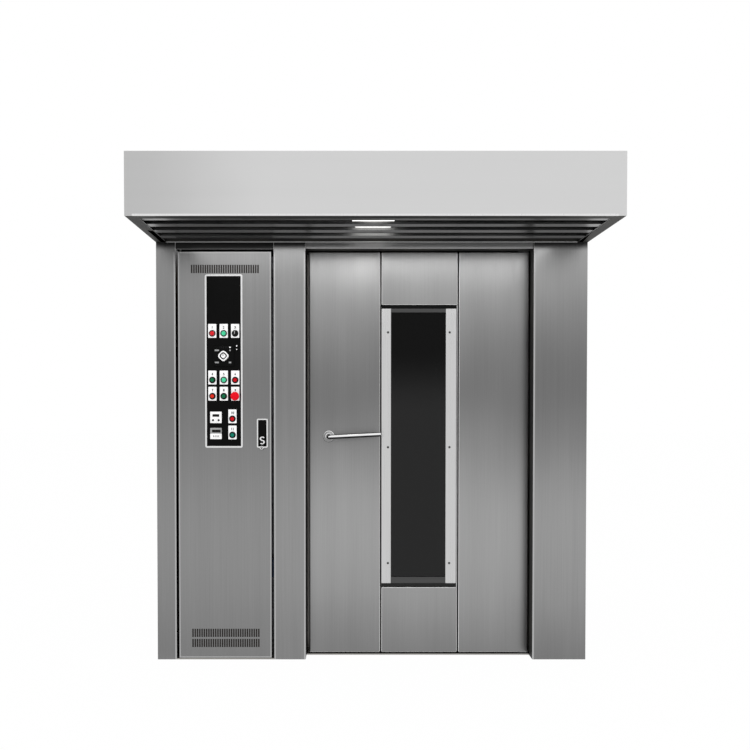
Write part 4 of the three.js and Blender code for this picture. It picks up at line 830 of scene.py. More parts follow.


def sheet(name: str, colour: str, bands: tuple, shade: float = 0.0) -> BrushedSteel:
    """Brushed sheet of the front, with the soft bands of painted reflection."""
    return BrushedSteel("brushed_304_" + name, colour, bands=bands, shade=shade)


CATALOGUE = {
    # Belt-brushed stainless steel 1.4301: upright grain, with the room's reflection painted as soft bands
    # across it; each panel's tone is set a little apart as painted light.
    "left_post": sheet("left_post", "#8a8a8a", CABINET_PAINTED_REFLECTION, HOOD_SHADOW_HEIGHT),
    "cabinet_door": sheet("cabinet_door", "#8c8c8c", CABINET_PAINTED_REFLECTION),
    "centre_post": sheet("centre_post", "#929292", CABINET_PAINTED_REFLECTION, HOOD_SHADOW_HEIGHT),
    "oven_door": sheet("oven_door", "#999999", OVEN_PAINTED_REFLECTION),
    "right_panel": sheet("right_panel", "#929292", OVEN_PAINTED_REFLECTION, HOOD_SHADOW_HEIGHT),
    # The same sheet on the right side and the back, which look at an even room.
    "plain": BrushedSteel("brushed_304_plain", "#8c8c8c", contrast=0.06),
    # Brushed lengthwise, so that a header's grain lies flat.
    "header": BrushedSteel("brushed_304_header", "#959595", along=0, contrast=0.12),
    # A fine lengthwise grain in full light, painted as an almost even pale grey, lighter than the front
    # sheets.
    "hood": BrushedSteel(
        "brushed_304_hood", "#d6d6d6", roughness=0.4, bands=FASCIA_PAINTED_REFLECTION, across=0, along=0, contrast=0.012
    ),
    # Painted highlight along the folded edges: thin light lines of pale steel.
    "fold": BrushedSteel("fold_painted_highlight", "#e4e4e4", roughness=0.32, contrast=0.03),
    # Rolled edges with a softer painted highlight than a fold's: a light edge down the posts and round the
    # cabinet's door.
    "rolled": BrushedSteel("rolled_edge_painted_highlight", "#b2b2b2", roughness=0.34, contrast=0.04),
    # Painted shade for recesses and the hood's inside: nearly black steel, with faint brown blotches.
    "smoked": GrainedMetal(
        "painted_shade_steel", "#2c2c2c", 0.6, 0.6, second="#3a3936", blotch=6, pit=500, depth=0.02
    ),
    # The strips over and under the glass, in the door's own shade.
    "shaded": BrushedSteel("dark_window_strip", "#4e4e4e", along=0, contrast=0.1),
    # The cabinet's header, with the hood's shadow painted darker towards its top.
    "sooted": BrushedSteel("hood_shadowed_header", "#8c8c8c", along=0, contrast=0.15, shade=HOOD_SHADOW_HEIGHT - 0.04),
    # Cold-rolled 2B sheet that heat has warmed a little in tone.
    "liner": BrushedSteel("chamber_2b_sheet", "#a19f9b", roughness=0.42, contrast=0.05),
    # Finely ground trim: the brightest of the flat steel.
    "bright": BrushedSteel("bright_trim_steel", "#cacaca", roughness=0.3, contrast=0.04),
    # Slats ground lengthwise: a light line along each rounded edge.
    "slat": BrushedSteel("bright_slat_steel", "#7b7b7b", roughness=0.3, along=0, contrast=0.06),
    # Hot-dip galvanised sheet: crystals of slightly different greys.
    "galvanised": GrainedMetal(
        "galvanised_sheet", "#959a9d", 0.45, 1.0, second="#a2a6a9", blotch=70, depth=0.02, crystals=True
    ),
    # Steel with its heat tint: straw and brown clouds.
    "heat_stained": GrainedMetal(
        "heat_stained_steel", "#6d655c", 0.5, 1.0, second="#8a7a66", blotch=9, pit=600, depth=0.05
    ),
    # Grey iron cast in sand: dark, with a rough skin.
    "iron": GrainedMetal(
        "sand_cast_iron", "#3c3d3e", 0.6, 0.6, second="#4b4b4a", blotch=60, pit=700, depth=0.5
    ),
    # Steel turned on a lathe: clean and light.
    "machined": GrainedMetal(
        "turned_steel", "#9b9c9d", 0.3, 1.0, second="#a8a8a8", blotch=12, pit=1500, depth=0.02
    ),
    # Chromium plate over polished steel, its black and white reflection painted in.
    "chrome": Chrome("polished_chrome", "#dcdddd"),
    # Bonded slabs: matted fibres, dull yellow.
    "wool": MineralWool("mineral_wool", "#c3ad6c"),
    # Extruded silicone: soft and dull.
    "rubber": Moulded("silicone_rubber", "#262626", 0.6, texture=700),
    # Pressed phenolic resin: brown-black, half dull.
    "tyre": Moulded("heat_proof_phenolic", "#2b2522", 0.5, texture=900),
    # Printed polyester film with a matt face: black without a mirror image.
    "black": Moulded("black_panel_film", "#0a0a0a", 0.35, gloss=0.05),
    # Moulded nylon: black with a satin sheen.
    "satin_black": Moulded("black_nylon", "#0b0b0b", 0.45, gloss=0.2),
    # Moulded ABS: an even, clean white, with a faint painted glow.
    "legend": Moulded("legend_plate_abs", "#ffffff", 0.4, glow=0.08),
    # The same plastic in grey.
    "grey": Moulded("grey_abs", "#a3a4a4", 0.45),
    # Screen-printed ink: flat, nearly black.
    "mark": Moulded("printed_mark", "#2b2b2d", 0.6, gloss=0.1),
    # Moulded polycarbonate caps, coloured through.
    "red": Moulded("red_polycarbonate", "#cf0a18", 0.3, gloss=0.12),
    "orange": Moulded("orange_polycarbonate", "#de2f1e", 0.3, gloss=0.12),
    "green": Moulded("green_polycarbonate", "#0f6e46", 0.3, gloss=0.12),
    "teal": Moulded("teal_polycarbonate", "#0f7d68", 0.3, gloss=0.12),
    # Moulded ABS in signal red.
    "bright_red": Moulded("mushroom_red_abs", "#f2041f", 0.32, gloss=0.12),
    # Clear coloured lenses with a lamp behind them: they glow a little.
    "pilot_red": Moulded("red_pilot_lens", "#dc1a26", 0.2, gloss=0.2, glow=0.12),
    "pilot_green": Moulded("green_pilot_lens", "#46cf9a", 0.2, gloss=0.2, glow=0.1),
    "diode": Moulded("white_diode", "#f4f4f4", 0.3, glow=0.5),
    # Opal polycarbonate over a lit tube.
    "lamp": Moulded("opal_lamp_cover", "#fbfbf8", 0.3, glow=1.6),
    # Moulded polyamide: dark grey and dull.
    "switchgear": Moulded("switchgear_polyamide", "#3f4346", 0.5),
    # Sprayed machine enamel with a slight orange peel.
    "paint": Moulded("blue_machine_enamel", "#2f4f77", 0.35, texture=350, depth=0.15),
    # Toughened and tinted: nearly black before the dark chamber.
    "glass": TintedGlass("tinted_oven_glass", "#1a1c1c"),
}


class Finishes(SimpleNamespace):
    """Every finish of the oven, each built once and named by its key in the catalogue."""

    def __init__(self) -> None:
        """Builds the materials in the catalogue's order."""
        super().__init__(**{key: finish.material() for key, finish in CATALOGUE.items()})


# ------------------------------------------------------------------ casing and hood


@dataclass
class Casing:
    """The folded sheets of the body, their screws and the roof deck."""

    finishes: Finishes
    screw_radius: float = 6.0 * MM
    screw_pitch: float = 0.30
    screw_inset: float = 0.025  # from a panel's upright edge
    screw_row: float = 0.05  # from a panel's upper or lower edge
    front_column: float = 0.22  # a side panel's front column of screws, from its front edge
    rolled_width: float = 8 * MM
    rolled_proud: float = 0.4 * MM

    def sheets(self) -> None:
        """Gives every casing sheet rounded folds."""
        f = self.finishes
        for node, material in (
            ("left_side_panel", f.left_post),
            ("right_side_panel", f.plain),
            ("rear_panel", f.plain),
            ("centre_post", f.centre_post),
            ("right_front_panel", f.right_panel),
            ("cabinet_header", f.sooted),
            ("door_header", f.header),
        ):
            # The reveals beside the doors and the insides of the trays lie in deep shade, painted in as a
            # nearly black finish.
            front_sheet = not node.startswith(("left", "right_side", "rear"))
            rule = self.reveals if front_sheet else self.hollow
            formed(node, material, 2.5 * MM, 3, f.fold, f.smoked, rule)
        formed("floor_pan", f.liner, 1.0 * MM)
        formed("roof_panel", f.galvanised, 1.0 * MM)

    @staticmethod
    def reveals(middles: Array, normals: Array, low: Array, high: Array) -> Array:
        """Picks the faces behind the front sheet, apart from the top and the outer right side."""
        behind = middles[:, 1] > low[1] + 3 * MM
        return behind & (middles[:, 0] < CAD_BOX[1][0] - MM) & (middles[:, 2] < high[2] - MM)

    @staticmethod
    def hollow(middles: Array, normals: Array, low: Array, high: Array) -> Array:
        """Picks the faces more than 3 mm inside the node's box."""
        return ((middles > low + 3 * MM) & (middles < high - 3 * MM)).all(axis=1)

    def pan_head(self, place: Point, facing: Facing) -> Surface:
        """A pan-head screw: a low dome with a round shoulder.

        Args:
            place: middle of the head, on the sheet.
            facing: the way that it looks.
        Returns:
            The head.
        """
        dome = [(0, 0.55), (0.35, 0.52), (0.7, 0.4), (0.95, 0.15), (1, -0.2), (0, -0.2)]
        profile = np.array(dome) * self.screw_radius
        return turned(profile, place, facing, 14)

    def screws(self) -> None:
        """Rows of screws down the edges of the rear and side panels."""
        f = self.finishes
        low, high, _ = middle("rear_panel")
        inset, row = self.screw_inset, self.screw_row
        heights = np.arange(low[2] + 0.08, high[2] - 0.04, self.screw_pitch)
        places = [(x, z) for z in heights for x in (low[0] + inset, high[0] - inset)]
        columns = np.linspace(low[0] + self.screw_pitch, high[0] - self.screw_pitch, 5)
        places += [(x, z) for x in columns for z in (low[2] + row, high[2] - row)]
        heads = [self.pan_head((x, high[1], z), Facing.BACK) for x, z in places]
        add_piece("rear_panel_screws", heads, f.machined, "cabinet")
        for node, facing, side in (
            ("left_side_panel", Facing.LEFT, 0), ("right_side_panel", Facing.RIGHT, 1),
        ):
            corners = middle(node)
            x = corners[side][0]
            depths = (corners[0][1] + self.front_column, corners[1][1] - inset)
            heads = [self.pan_head((x, y, z), facing) for z in heights for y in depths]
            add_piece(node + "_screws", heads, f.machined, "cabinet")

    def rolled_edges(self) -> None:
        """Rolled edges down the posts with a painted highlight, from the floor to the hood's painted shadow.
        """
        width = self.rolled_width
        strips = []
        for node, side in (
            ("left_side_panel", 1), ("centre_post", 0), ("centre_post", 1), ("right_front_panel", 0),
        ):
            corners = middle(node)
            edge = corners[side][0] + (width / 2, -width / 2)[side]
            foot = corners[0][2] + MM
            place = (edge, FRONT_Y - self.rolled_proud, (foot + HOOD_SHADOW_HEIGHT) / 2)
            strips.append(pressed(place, (width, HOOD_SHADOW_HEIGHT - foot, 2 * MM), 1.6 * MM, 0.8 * MM))
        add_piece("post_rolled_edges", strips, self.finishes.rolled, "cabinet")

    def build(self) -> None:
        """Builds the casing."""
        self.sheets()
        self.rolled_edges()
        self.screws()


@dataclass
class Hood:
    """The overhanging hood with its slats, opal lamp and exhaust fan."""

    finishes: Finishes
    lamp_depth: float = 38 * MM
    hanger: float = 40 * MM  # width of the lamp's square hanger
    lip_end: float = 30 * MM  # how far the bright lip ends short of the hood's sides

    @staticmethod
    def shaded(middles: Array, normals: Array, low: Array, high: Array) -> Array:
        """Picks the hood's inner faces and the underside of its flange, which take the painted shade.

        Args:
            middles: the faces' middles.
            normals: the faces' normals.
            low: the node's lowest corner.
            high: the node's highest corner.
        Returns:
            True for each picked face.
        """
        within = ((middles > low + 3 * MM) & (middles < high - 1.5 * MM)).all(axis=1)
        under = (normals[:, 2] < -0.9) & (middles[:, 2] < low[2] + MM)
        return within | under

    def lamp(self) -> None:
        """The opal cover: a rounded rectangle whose underside bulges, over its hanger."""
        low, high, mid = middle("hood_lamp")
        width, length = high[0] - low[0], high[1] - low[1]
        depth = self.lamp_depth
        rings = []
        for t in np.linspace(0, math.pi / 2, 9):
            # Under the rim the cover is a quarter ellipse: it narrows as sin t and drops as cos t.
            narrow = 0.55 + 0.45 * math.sin(t)
            flat = outline(width * narrow, length * narrow, width / 2 * narrow - MM)
            rings.append(raised(flat, low[2] + depth * (1 - math.cos(t))))
        rings.append(raised(flat, low[2] + depth + 2 * MM))
        cover = lofted(np.array(rings) + np.array([mid[0], mid[1], 0.0]))
        size = (self.hanger, self.hanger, high[2] - low[2] - depth)
        stem = pressed((mid[0], mid[1], high[2]), size, MM, 2 * MM, Facing.TOP)
        f = self.finishes
        add_piece("hood_lamp_cover", [cover], f.lamp, "cabinet", ["hood_lamp"])
        add_piece("hood_lamp_hanger", [stem], f.galvanised, "cabinet")

    def build(self) -> None:
        """Builds the hood."""
        f = self.finishes
        # The hood's inside and the underside of its flange take the painted shade finish.
        formed("hood_shell", f.hood, 1.0 * MM, 2, f.fold, f.smoked, self.shaded)
        formed("hood_louvre", f.slat, 3.0 * MM, 3)
        low, high, mid = middle("hood_shell")
        place = (mid[0], low[1] - 0.6 * MM, low[2] + 4 * MM)
        lip = pressed(place, (high[0] - low[0] - 2 * self.lip_end, 9 * MM, 4 * MM), 2 * MM, 3 * MM)
        add_piece("hood_lip", [lip], f.fold, "cabinet")
        formed("hood_fan_housing", f.galvanised, 0.6 * MM)
        formed("hood_fan_impeller", f.galvanised, 0.4 * MM)
        self.lamp()


# ------------------------------------------------------------------ oven door


@dataclass
class OvenDoor:
    """The chamber door: three folded skins, the window with its trims, the handle and the gasket."""

    finishes: Finishes
    seams: tuple = (339 * MM, 705 * MM)  # seam middles from the door's left edge
    seam: float = 5.0 * MM
    fold: float = 5.0 * MM
    window_right: float = 697 * MM
    window_low: float = 324 * MM  # above the ground
    window_high: float = 1662 * MM
    trim_left: float = 45 * MM
    trim_right: float = 50 * MM
    screw_heights: tuple = (439 * MM, 990 * MM, 1533 * MM)
    screw_radius: float = 5.5 * MM
    strip_low: float = 30 * MM  # height of the dark strip under the glass
    strip_high: float = 18 * MM
    bar_radius: float = 10.5 * MM
    bar_bend: float = 26 * MM
    bar_slope: float = math.radians(3)  # the bar rises towards its tip
    cam_reach: float = 14 * MM  # the cam's middle, from the spindle

    def skins(self) -> None:
        """The outer skin: three folded pans with a dark seam between them, cut away for the window."""
        low, high, _ = middle("door_outer_skin")
        depth = high[1] - low[1]
        half = self.seam / 2
        left, right = low[0], high[0]
        first, second = (left + seam for seam in self.seams)
        glass_edge = left + self.window_right + 0.5 * MM
        spans = [
            (left, first - half, low[2], high[2]),
            (first + half, second - half, low[2], self.window_low),
            (first + half, second - half, self.window_high, high[2]),
            (glass_edge, second - half, self.window_low, self.window_high),
            (second + half, right, low[2], high[2]),
        ]
        pans = []
        for x0, x1, z0, z1 in spans:
            edge = min(self.fold, (x1 - x0) / 2.1)
            place = ((x0 + x1) / 2, low[1], (z0 + z1) / 2)
            pans.append(pressed(place, (x1 - x0, z1 - z0, depth), edge, edge * 1.2, steps=5))
        f = self.finishes
        nodes = ["door_outer_skin"]
        add_piece("door_skin_pans", pans, f.oven_door, "oven_door", nodes, fold=f.fold)

    def window(self) -> None:
        """Side trims with domed screws, and a flat strip above and below the glass."""
        f = self.finishes
        low, high, mid = middle("window_frame")
        front = low[1] + 2 * MM
        depth = high[1] - front
        height = high[2] - low[2]
        left, right = low[0], high[0]
        trims = [
            pressed((x, front, mid[2]), (width, height, depth), 1.5 * MM, 2 * MM)
            for x, width in (
                (left + self.trim_left / 2, self.trim_left), (right - self.trim_right / 2, self.trim_right),
            )
        ]
        add_piece("window_trims", trims, f.bright, "oven_door", ["window_frame"])
        gap = 0.2 * MM
        inner = (left + self.trim_left + gap, right - self.trim_right - gap)
        centre, span = (inner[0] + inner[1]) / 2, inner[1] - inner[0]
        strips = [
            pressed((centre, front + MM, z), (span, tall, depth - MM), MM, MM)
            for z, tall in (
                (low[2] + self.strip_low / 2, self.strip_low),
                (high[2] - self.strip_high / 2, self.strip_high),
            )
        ]
        add_piece("window_strips", strips, f.shaded, "oven_door")
        dome = [(0, 0.5), (0.3, 0.5), (0.7, 0.38), (1, 0), (0.9, -0.4), (0, -0.4)]
        profile = np.array(dome) * self.screw_radius
        places = (left + self.trim_left - 14 * MM, right - self.trim_right + 18 * MM)
        heads = [turned(profile, (x, front, z), sides=20) for z in self.screw_heights for x in places]
        add_piece("window_screws", heads, f.iron, "oven_door")

    def handle(self) -> None:
        """The bent round bar on its rosette, and the cam that it turns behind the skin."""
        f = self.finishes
        low, high, _ = middle("handle_rosette")
        x, z = (low[0] + high[0]) / 2, (low[2] + high[2]) / 2
        face = high[1]
        bar_low, bar_high, _ = middle("handle_lever")
        radius = self.bar_radius
        front = bar_low[1] + radius
        tip = bar_high[0] - radius * 0.4
        rise = math.tan(self.bar_slope) * (tip - x)
        corners = [(x, face + 6 * MM, z), (x, front, z), (tip, front, z + rise)]
        bar = swept(bent(corners, self.bar_bend, 12), radius)
        inner = -(bar_high[1] - face)
        pin = [(0, 0), (8 * MM, 0), (8 * MM, inner), (0, inner)]
        spindle = turned(pin, (x, face, z), sides=24)
        reach = self.cam_reach
        place = (x + reach, bar_high[1] - 8 * MM, math.sin(self.bar_slope) * reach + z)
        cam = pressed(place, (58 * MM, 23 * MM, 8 * MM), MM, 3 * MM)
        nodes = ["handle_lever"]
        add_piece("handle_bar", [bar, spindle, cam], f.chrome, "door_handle", nodes)
        # The rosette steps up in three rings to a collar round the bar.
        rim = (high[0] - low[0]) / 2 / MM
        steps = [
            (11, 11.5), (14, 12), (16, 11), (17, 8.5), (20, 8), (21.5, 6.5), (22, 4.5), (25, 4),
            (rim, 2.5), (rim, 0.3), (11, 0.3), (11, 11.5),
        ]
        rose = turned(mm(steps), (x, face, z), sides=56, bore=True)
        nodes = ["handle_rosette"]
        add_piece("handle_rose", [rose], f.machined, "oven_door", nodes, fold=f.chrome)

    def build(self) -> None:
        """Builds the door."""
        self.skins()
        self.window()
        self.handle()
        f = self.finishes
        for node, material, edge, segments in (
            ("door_inner_skin", f.liner, 1.5, 2),
            ("door_gasket", f.rubber, 4.0, 3),
            ("window_outer_glass", f.glass, 0.8, 2),
            ("window_inner_glass", f.glass, 0.8, 2),
            ("door_hinge_upper", f.iron, 1.0, 2),
            ("door_hinge_lower", f.iron, 1.0, 2),
        ):
            formed(node, material, edge * MM, segments)


# ------------------------------------------------------------------ control cabinet door


@dataclass
class ControlPanel:
    """The black panel in its silver frame, with legend plates, buttons, lamps and instruments."""

    finishes: Finishes
    bar: float = 8.5 * MM
    pitch: float = 53 * MM
    upper: float = 129 * MM
    mid_row: float = -87 * MM
    lower: float = -162 * MM
    stack_x: float = 39.5 * MM
    stack: tuple = (-267 * MM, -342 * MM)
    instrument_x: float = -37 * MM
    instruments_z: tuple = (-260.5 * MM, -335 * MM)
    legend_size: tuple = (38 * MM, 64 * MM)
    legend_rise: float = 11.5 * MM
    number_rise: float = 27 * MM
    number_height: float = 16 * MM
    lamp_radius: float = 10.4 * MM
    cap_radius: float = 8.8 * MM
    mushroom_radius: float = 20 * MM
    instrument: float = 53 * MM  # width of the timer and the counter

    def __post_init__(self) -> None:
        """Finds the panel's middle and its black face."""
        low, high, mid = middle("control_panel")
        self.centre = mid
        self.size = (high[0] - low[0], high[2] - low[2])
        self.front = FRONT_Y - 4 * MM
        self.face = FRONT_Y - 2 * MM

    def at(self, x: float, z: float, proud: float) -> tuple[float, float, float]:
        """A point on the panel, counted from its middle, proud of its black face."""
        return self.centre[0] + x, self.face - proud, self.centre[2] + z

    def add(
        self, name: str, surfaces: list, material: Material, slot: str, replaces: Sequence[str] = ()
    ) -> None:
        """Adds a piece that moves with the cabinet's door."""
        add_piece(name, surfaces, material, "cabinet_door", replaces)

    def units(self) -> list[tuple[float, float]]:
        """Places of the round control units.

        Returns:
            The places across and up from the panel's middle, row by row and then down the stack.
        """
        p = self.pitch
        rows = [(x, z) for z in (self.upper, self.mid_row, self.lower) for x in (-p, 0.0, p)]
        return rows + [(self.stack_x, z) for z in self.stack]

    def base(self) -> None:
        """The frame and the black face."""
        width, height = self.size
        place = (self.centre[0], self.front, self.centre[2])
        frame = ringed(place, (width, height), self.bar, 3.7 * MM, 1.6 * MM, 8 * MM)
        self.add("panel_frame", [frame], self.finishes.fold, "bright_steel")
        size = (width - 2 * self.bar, height - 2 * self.bar, 1.7 * MM)
        plate = pressed((self.centre[0], self.face, self.centre[2]), size, 0.4 * MM, 3 * MM)
        self.add("panel_face", [plate], self.finishes.black, "panel_black", ["control_panel"])

    def legends(self) -> None:
        """White plates behind the units, each with a plain number printed on it."""
        plates, numbers = [], []
        width, height = self.legend_size
        for number, (x, z) in enumerate(self.units(), 1):
            place = self.at(x, z + self.legend_rise, 1.5 * MM)
            plates.append(pressed(place, (width, height, 1.8 * MM), 0.5 * MM, 2 * MM))
            numbers.append((str(number), self.at(x, z + self.number_rise, 1.6 * MM)))
        self.add("legend_plates", plates, self.finishes.legend, "white_plastic")
        mark = self.finishes.mark
        printed(numbers, self.number_height, "legend_numbers", mark, "cabinet_door")

    def bezels(self) -> None:
        """A stepped black ring round every unit."""
        collar = [(12.2, 6), (13.2, 5.6), (14, 3), (15.5, 2.6), (15.5, 0)]
        ring = mm([(11.3, 0), (11.3, 5.6), *collar, (11.3, 0)])
        guard = mm([(9, 0), (9, 7.5), (10.5, 8.4), *collar, (9, 0)])
        pushed = {(x, z) for x, z in self.units() if z < 0} - {(0.0, self.mid_row), (self.pitch, self.lower)}
        rings = [
            turned(guard if unit in pushed else ring, self.at(*unit, 0), sides=32, bore=True)
            for unit in self.units()
        ]
        self.add("unit_bezels", rings, self.finishes.satin_black, "black_plastic")

    def lamps(self) -> None:
        """Domes of the three pilot lamps."""
        r = self.lamp_radius
        turn = np.linspace(0, math.pi / 2, 8)
        dome = [(r * math.sin(t), 4 * MM + 7.5 * MM * math.cos(t)) for t in turn] + [(r, 0), (0, 0)]
        red = [turned(dome, self.at(-self.pitch, self.upper, 0.1 * MM))]
        green = [turned(dome, self.at(0, z, 0.1 * MM)) for z in (self.upper, self.mid_row)]
        self.add("pilot_lamp_red", red, self.finishes.pilot_red, "red_plastic")
        self.add("pilot_lamps_green", green, self.finishes.pilot_green, "green_plastic")

    def buttons(self) -> None:
        """Push caps with a dished face, each on its own body."""
        f = self.finishes
        for node, material in (
            ("button_lower_left", f.orange),
            ("button_lower_middle", f.green),
            ("button_middle_left", f.green),
            ("button_middle_right", f.red),
            ("button_stack_upper", f.red),
            ("button_stack_lower", f.teal),
        ):
            low, high, mid = middle(node)
            r = self.cap_radius / MM
            back = (low[1] - high[1]) / MM
            cap = [
                (0, -0.9), (0.4 * r, -0.75), (0.72 * r, -0.2), (0.86 * r, 0), (0.95 * r, -0.3), (r, -1.2),
                (r, back + 12), (13, back + 12), (13, back + 9), (8, back + 9), (8, back), (0, back),
            ]
            piece = turned(mm(cap), (mid[0], low[1], mid[2]), sides=36)
            add_piece(node + "_cap", [piece], material, BODY_OF[node], [node])

    def mushroom(self) -> None:
        """The emergency stop: a flattened mushroom head on its stem."""
        node = "emergency_stop"
        low, high, mid = middle(node)
        length = high[1] - low[1]
        r = self.mushroom_radius
        crown, brim = 0.72 * r, 0.28 * r
        head = [
            (crown * math.sin(t), -2.2 * MM * (1 - math.cos(t))) for t in np.linspace(0, math.pi / 2, 8)
        ]
        head += [
            (crown + brim * math.sin(t), -8.5 * MM + 6 * MM * math.cos(t))
            for t in np.linspace(0.45, math.pi / 2, 6)
        ]
        stem = 11 * MM
        head += [(r, -11 * MM), (0.9 * r, -12 * MM), (stem, -12 * MM), (stem, -length), (0, -length)]
        piece = turned(head, (mid[0], low[1], mid[2]), sides=48)
        material = self.finishes.bright_red
        add_piece("emergency_mushroom", [piece], material, BODY_OF[node], [node])

    def selector(self) -> None:
        """The selector: a black rotor with a raised grip and a silver insert."""
        f, node = self.finishes, "selector_switch"
        low, high, mid = middle(node)
        body = BODY_OF[node]
        back = low[1] + 14.7 * MM
        inner = (back - high[1]) / MM
        profile = [
            (0, 4), (11.6, 4), (12.8, 2.6), (12.8, 0.2), (10.7, 0.1), (10.7, inner), (0, inner),
        ]
        rotor = turned(mm(profile), (mid[0], back, mid[2]), sides=36)
        grip = pressed((mid[0], low[1] + 0.3 * MM, mid[2]), (8 * MM, 24 * MM, 12 * MM), 2 * MM, 3 * MM)
        insert = pressed((mid[0], low[1], mid[2] + 3 * MM), (2.4 * MM, 14 * MM, MM), 0.3 * MM, MM)
        add_piece("selector_rotor", [rotor, grip], f.satin_black, body, [node])
        add_piece("selector_insert", [insert], f.bright, body)

    def controller(self) -> None:
        """The square temperature controller: its case, the labels on its face and its scale's ticks."""
        f, node = self.finishes, "temperature_controller"
        low, high, mid = middle(node)
        wide, rim, inside = high[0] - low[0], 7 * MM, 88 * MM
        bezel = pressed((mid[0], low[1], mid[2]), (wide, wide, rim), 1.6 * MM, 3 * MM)
        case_size = (inside, inside, high[1] - low[1] - rim)
        case = pressed((mid[0], low[1] + rim, mid[2]), case_size, MM, 2 * MM)
        self.add("controller_case", [bezel, case], f.black, "panel_black", [node])
        labels = []
        for dx, dz, width in mm([(-31, 26, 20), (-31, -30, 18), (30, -30, 11), (30, 26, 6)]):
            place = (mid[0] + dx, low[1] - 0.3 * MM, mid[2] + dz)
            labels.append(pressed(place, (width, 7 * MM, MM), 0.3 * MM, MM))
        self.add("controller_labels", labels, f.grey, "white_plastic")
        ticks = []
        for dx in (-16, -8, 0, 8, 16):
            place = (mid[0] + dx * MM, low[1] - 0.2 * MM, mid[2] + 40 * MM)
            ticks.append(pressed(place, (1.6 * MM, 10 * MM, 0.8 * MM), 0.2 * MM))
        self.add("controller_ticks", ticks, f.mark, "white_plastic")

    def knob(self) -> None:
        """The temperature knob: a raised white rim, a dark trench inside it and a white cap in the middle."""
        f, node = self.finishes, "controller_knob"
        low, high, mid = middle(node)
        body = BODY_OF[node]
        back = middle("temperature_controller")[0][1] - 0.3 * MM
        place = (mid[0], back, mid[2])
        r, tall, inner = (high[0] - low[0]) / 2 / MM, (back - low[1]) / MM, (back - high[1]) / MM
        rim = [
            (r, 1.2), (r - 1.2, tall - 5), (r - 3.5, tall - 4), (r - 6.6, tall - 5),
            (r - 7, tall - 9), (r - 7, 0.2), (r, 0.2), (r, 1.2),
        ]
        crown = [(0, tall - 2.6), (7, tall - 3), (9.6, tall - 4.4), (10.4, tall - 7), (10.6, 1), (0, 1)]
        floor = [(0, 1.4), (r - 5, 1.4), (r - 5, 0.3), (4, 0.2), (4, inner), (0, inner)]
        ring = turned(mm(rim), place, sides=64, lobes=4, swell=0.06, bore=True)
        cap = turned(mm(crown), place, sides=48, lobes=4, swell=0.05)
        trench = turned(mm(floor), place, sides=48)
        pointer = (mid[0], low[1], mid[2] + 4 * MM)
        grip = pressed(pointer, (2.6 * MM, 8 * MM, 4 * MM), 0.8 * MM, 1.1 * MM)
        add_piece("dial_knob", [ring, cap], f.legend, body, [node])
        add_piece("dial_knob_core", [trench, grip], f.satin_black, body)

    def diodes(self) -> None:
        """Three small domes: one on the temperature controller and two beside it."""
        low, _, mid = middle("temperature_controller")
        spots = []
        for place, dome in (
            ((mid[0] + 30 * MM, low[1], mid[2] + 40 * MM), [(0, 1.2), (2.4, 0.9), (3.2, 0), (3.2, -1)]),
            (self.at(60 * MM, 71 * MM, 0.2 * MM), [(0, 1.2), (2.6, 0.9), (3, 0), (3, -1)]),
            (self.at(60 * MM, 55 * MM, 0.2 * MM), [(0, 1), (2, 0.8), (2.4, 0), (2.4, -1)]),
        ):
            spots.append(turned(mm([*dome, (0, -1)]), place, sides=16))
        self.add("status_diodes", spots, self.finishes.diode, "white_plastic")

    def instruments(self) -> None:
        """The timer with its display and two keys, and the counter with its window."""
        f = self.finishes
        upper, lower = self.instruments_z
        x, wide = self.instrument_x, self.instrument
        key = mm([(0, 1.6), (4, 1.4), (5, 0.6), (5, -1), (0, -1)])
        keys = [turned(key, self.at(x + dx * MM, upper - 13 * MM, 5 * MM), sides=20) for dx in (-13, 13)]
        # Each block, in millimetres: its place across and up, how proud it stands, its width, height and
        # depth, and the radii of its edge and corners.
        blocks = {
            "timer": (0, upper / MM, 5, wide / MM, wide / MM, 5.5, 1.2, 2),
            "display": (0, upper / MM + 9, 5.6, 31, 12, 1, 0.3, 1),
            "hood": (0, lower / MM + 13, 4.5, wide / MM, 26, 5, 1.2, 3),
            "window": (2, lower / MM + 11, 5.2, 40, 13, 1, 0.4, 2),
            "foot": (0, lower / MM - 13.5, 4.5, wide / MM, 26, 5, 1.2, 2),
        }
        made = {}
        for name, block in blocks.items():
            dx, z, proud, width, height, depth, edge, corner = mm([block])[0]
            made[name] = pressed(self.at(x + dx, z, proud), (width, height, depth), edge, corner)
        bars = [
            pressed(self.at(x + dx * MM, lower - 13 * MM, 4.8 * MM), (6 * MM, 9 * MM, 0.6 * MM), 0.2 * MM, MM)
            for dx in (-10, 0, 10)
        ]
        self.add("timer_case", [made["timer"]], f.legend, "white_plastic")
        self.add("timer_keys", [made["display"], *keys], f.satin_black, "black_plastic")
        self.add("counter_hood", [made["hood"]], f.grey, "white_plastic")
        self.add("counter_window", [made["window"]], f.satin_black, "black_plastic")
        self.add("counter_foot", [made["foot"]], f.legend, "white_plastic")
        self.add("counter_keys", bars, f.grey, "white_plastic")

    def build(self) -> None:
        """Builds the panel."""
        for part in (
            self.base, self.legends, self.bezels, self.lamps, self.buttons, self.mushroom, self.selector,
            self.controller, self.knob, self.diodes, self.instruments,
        ):
            part()


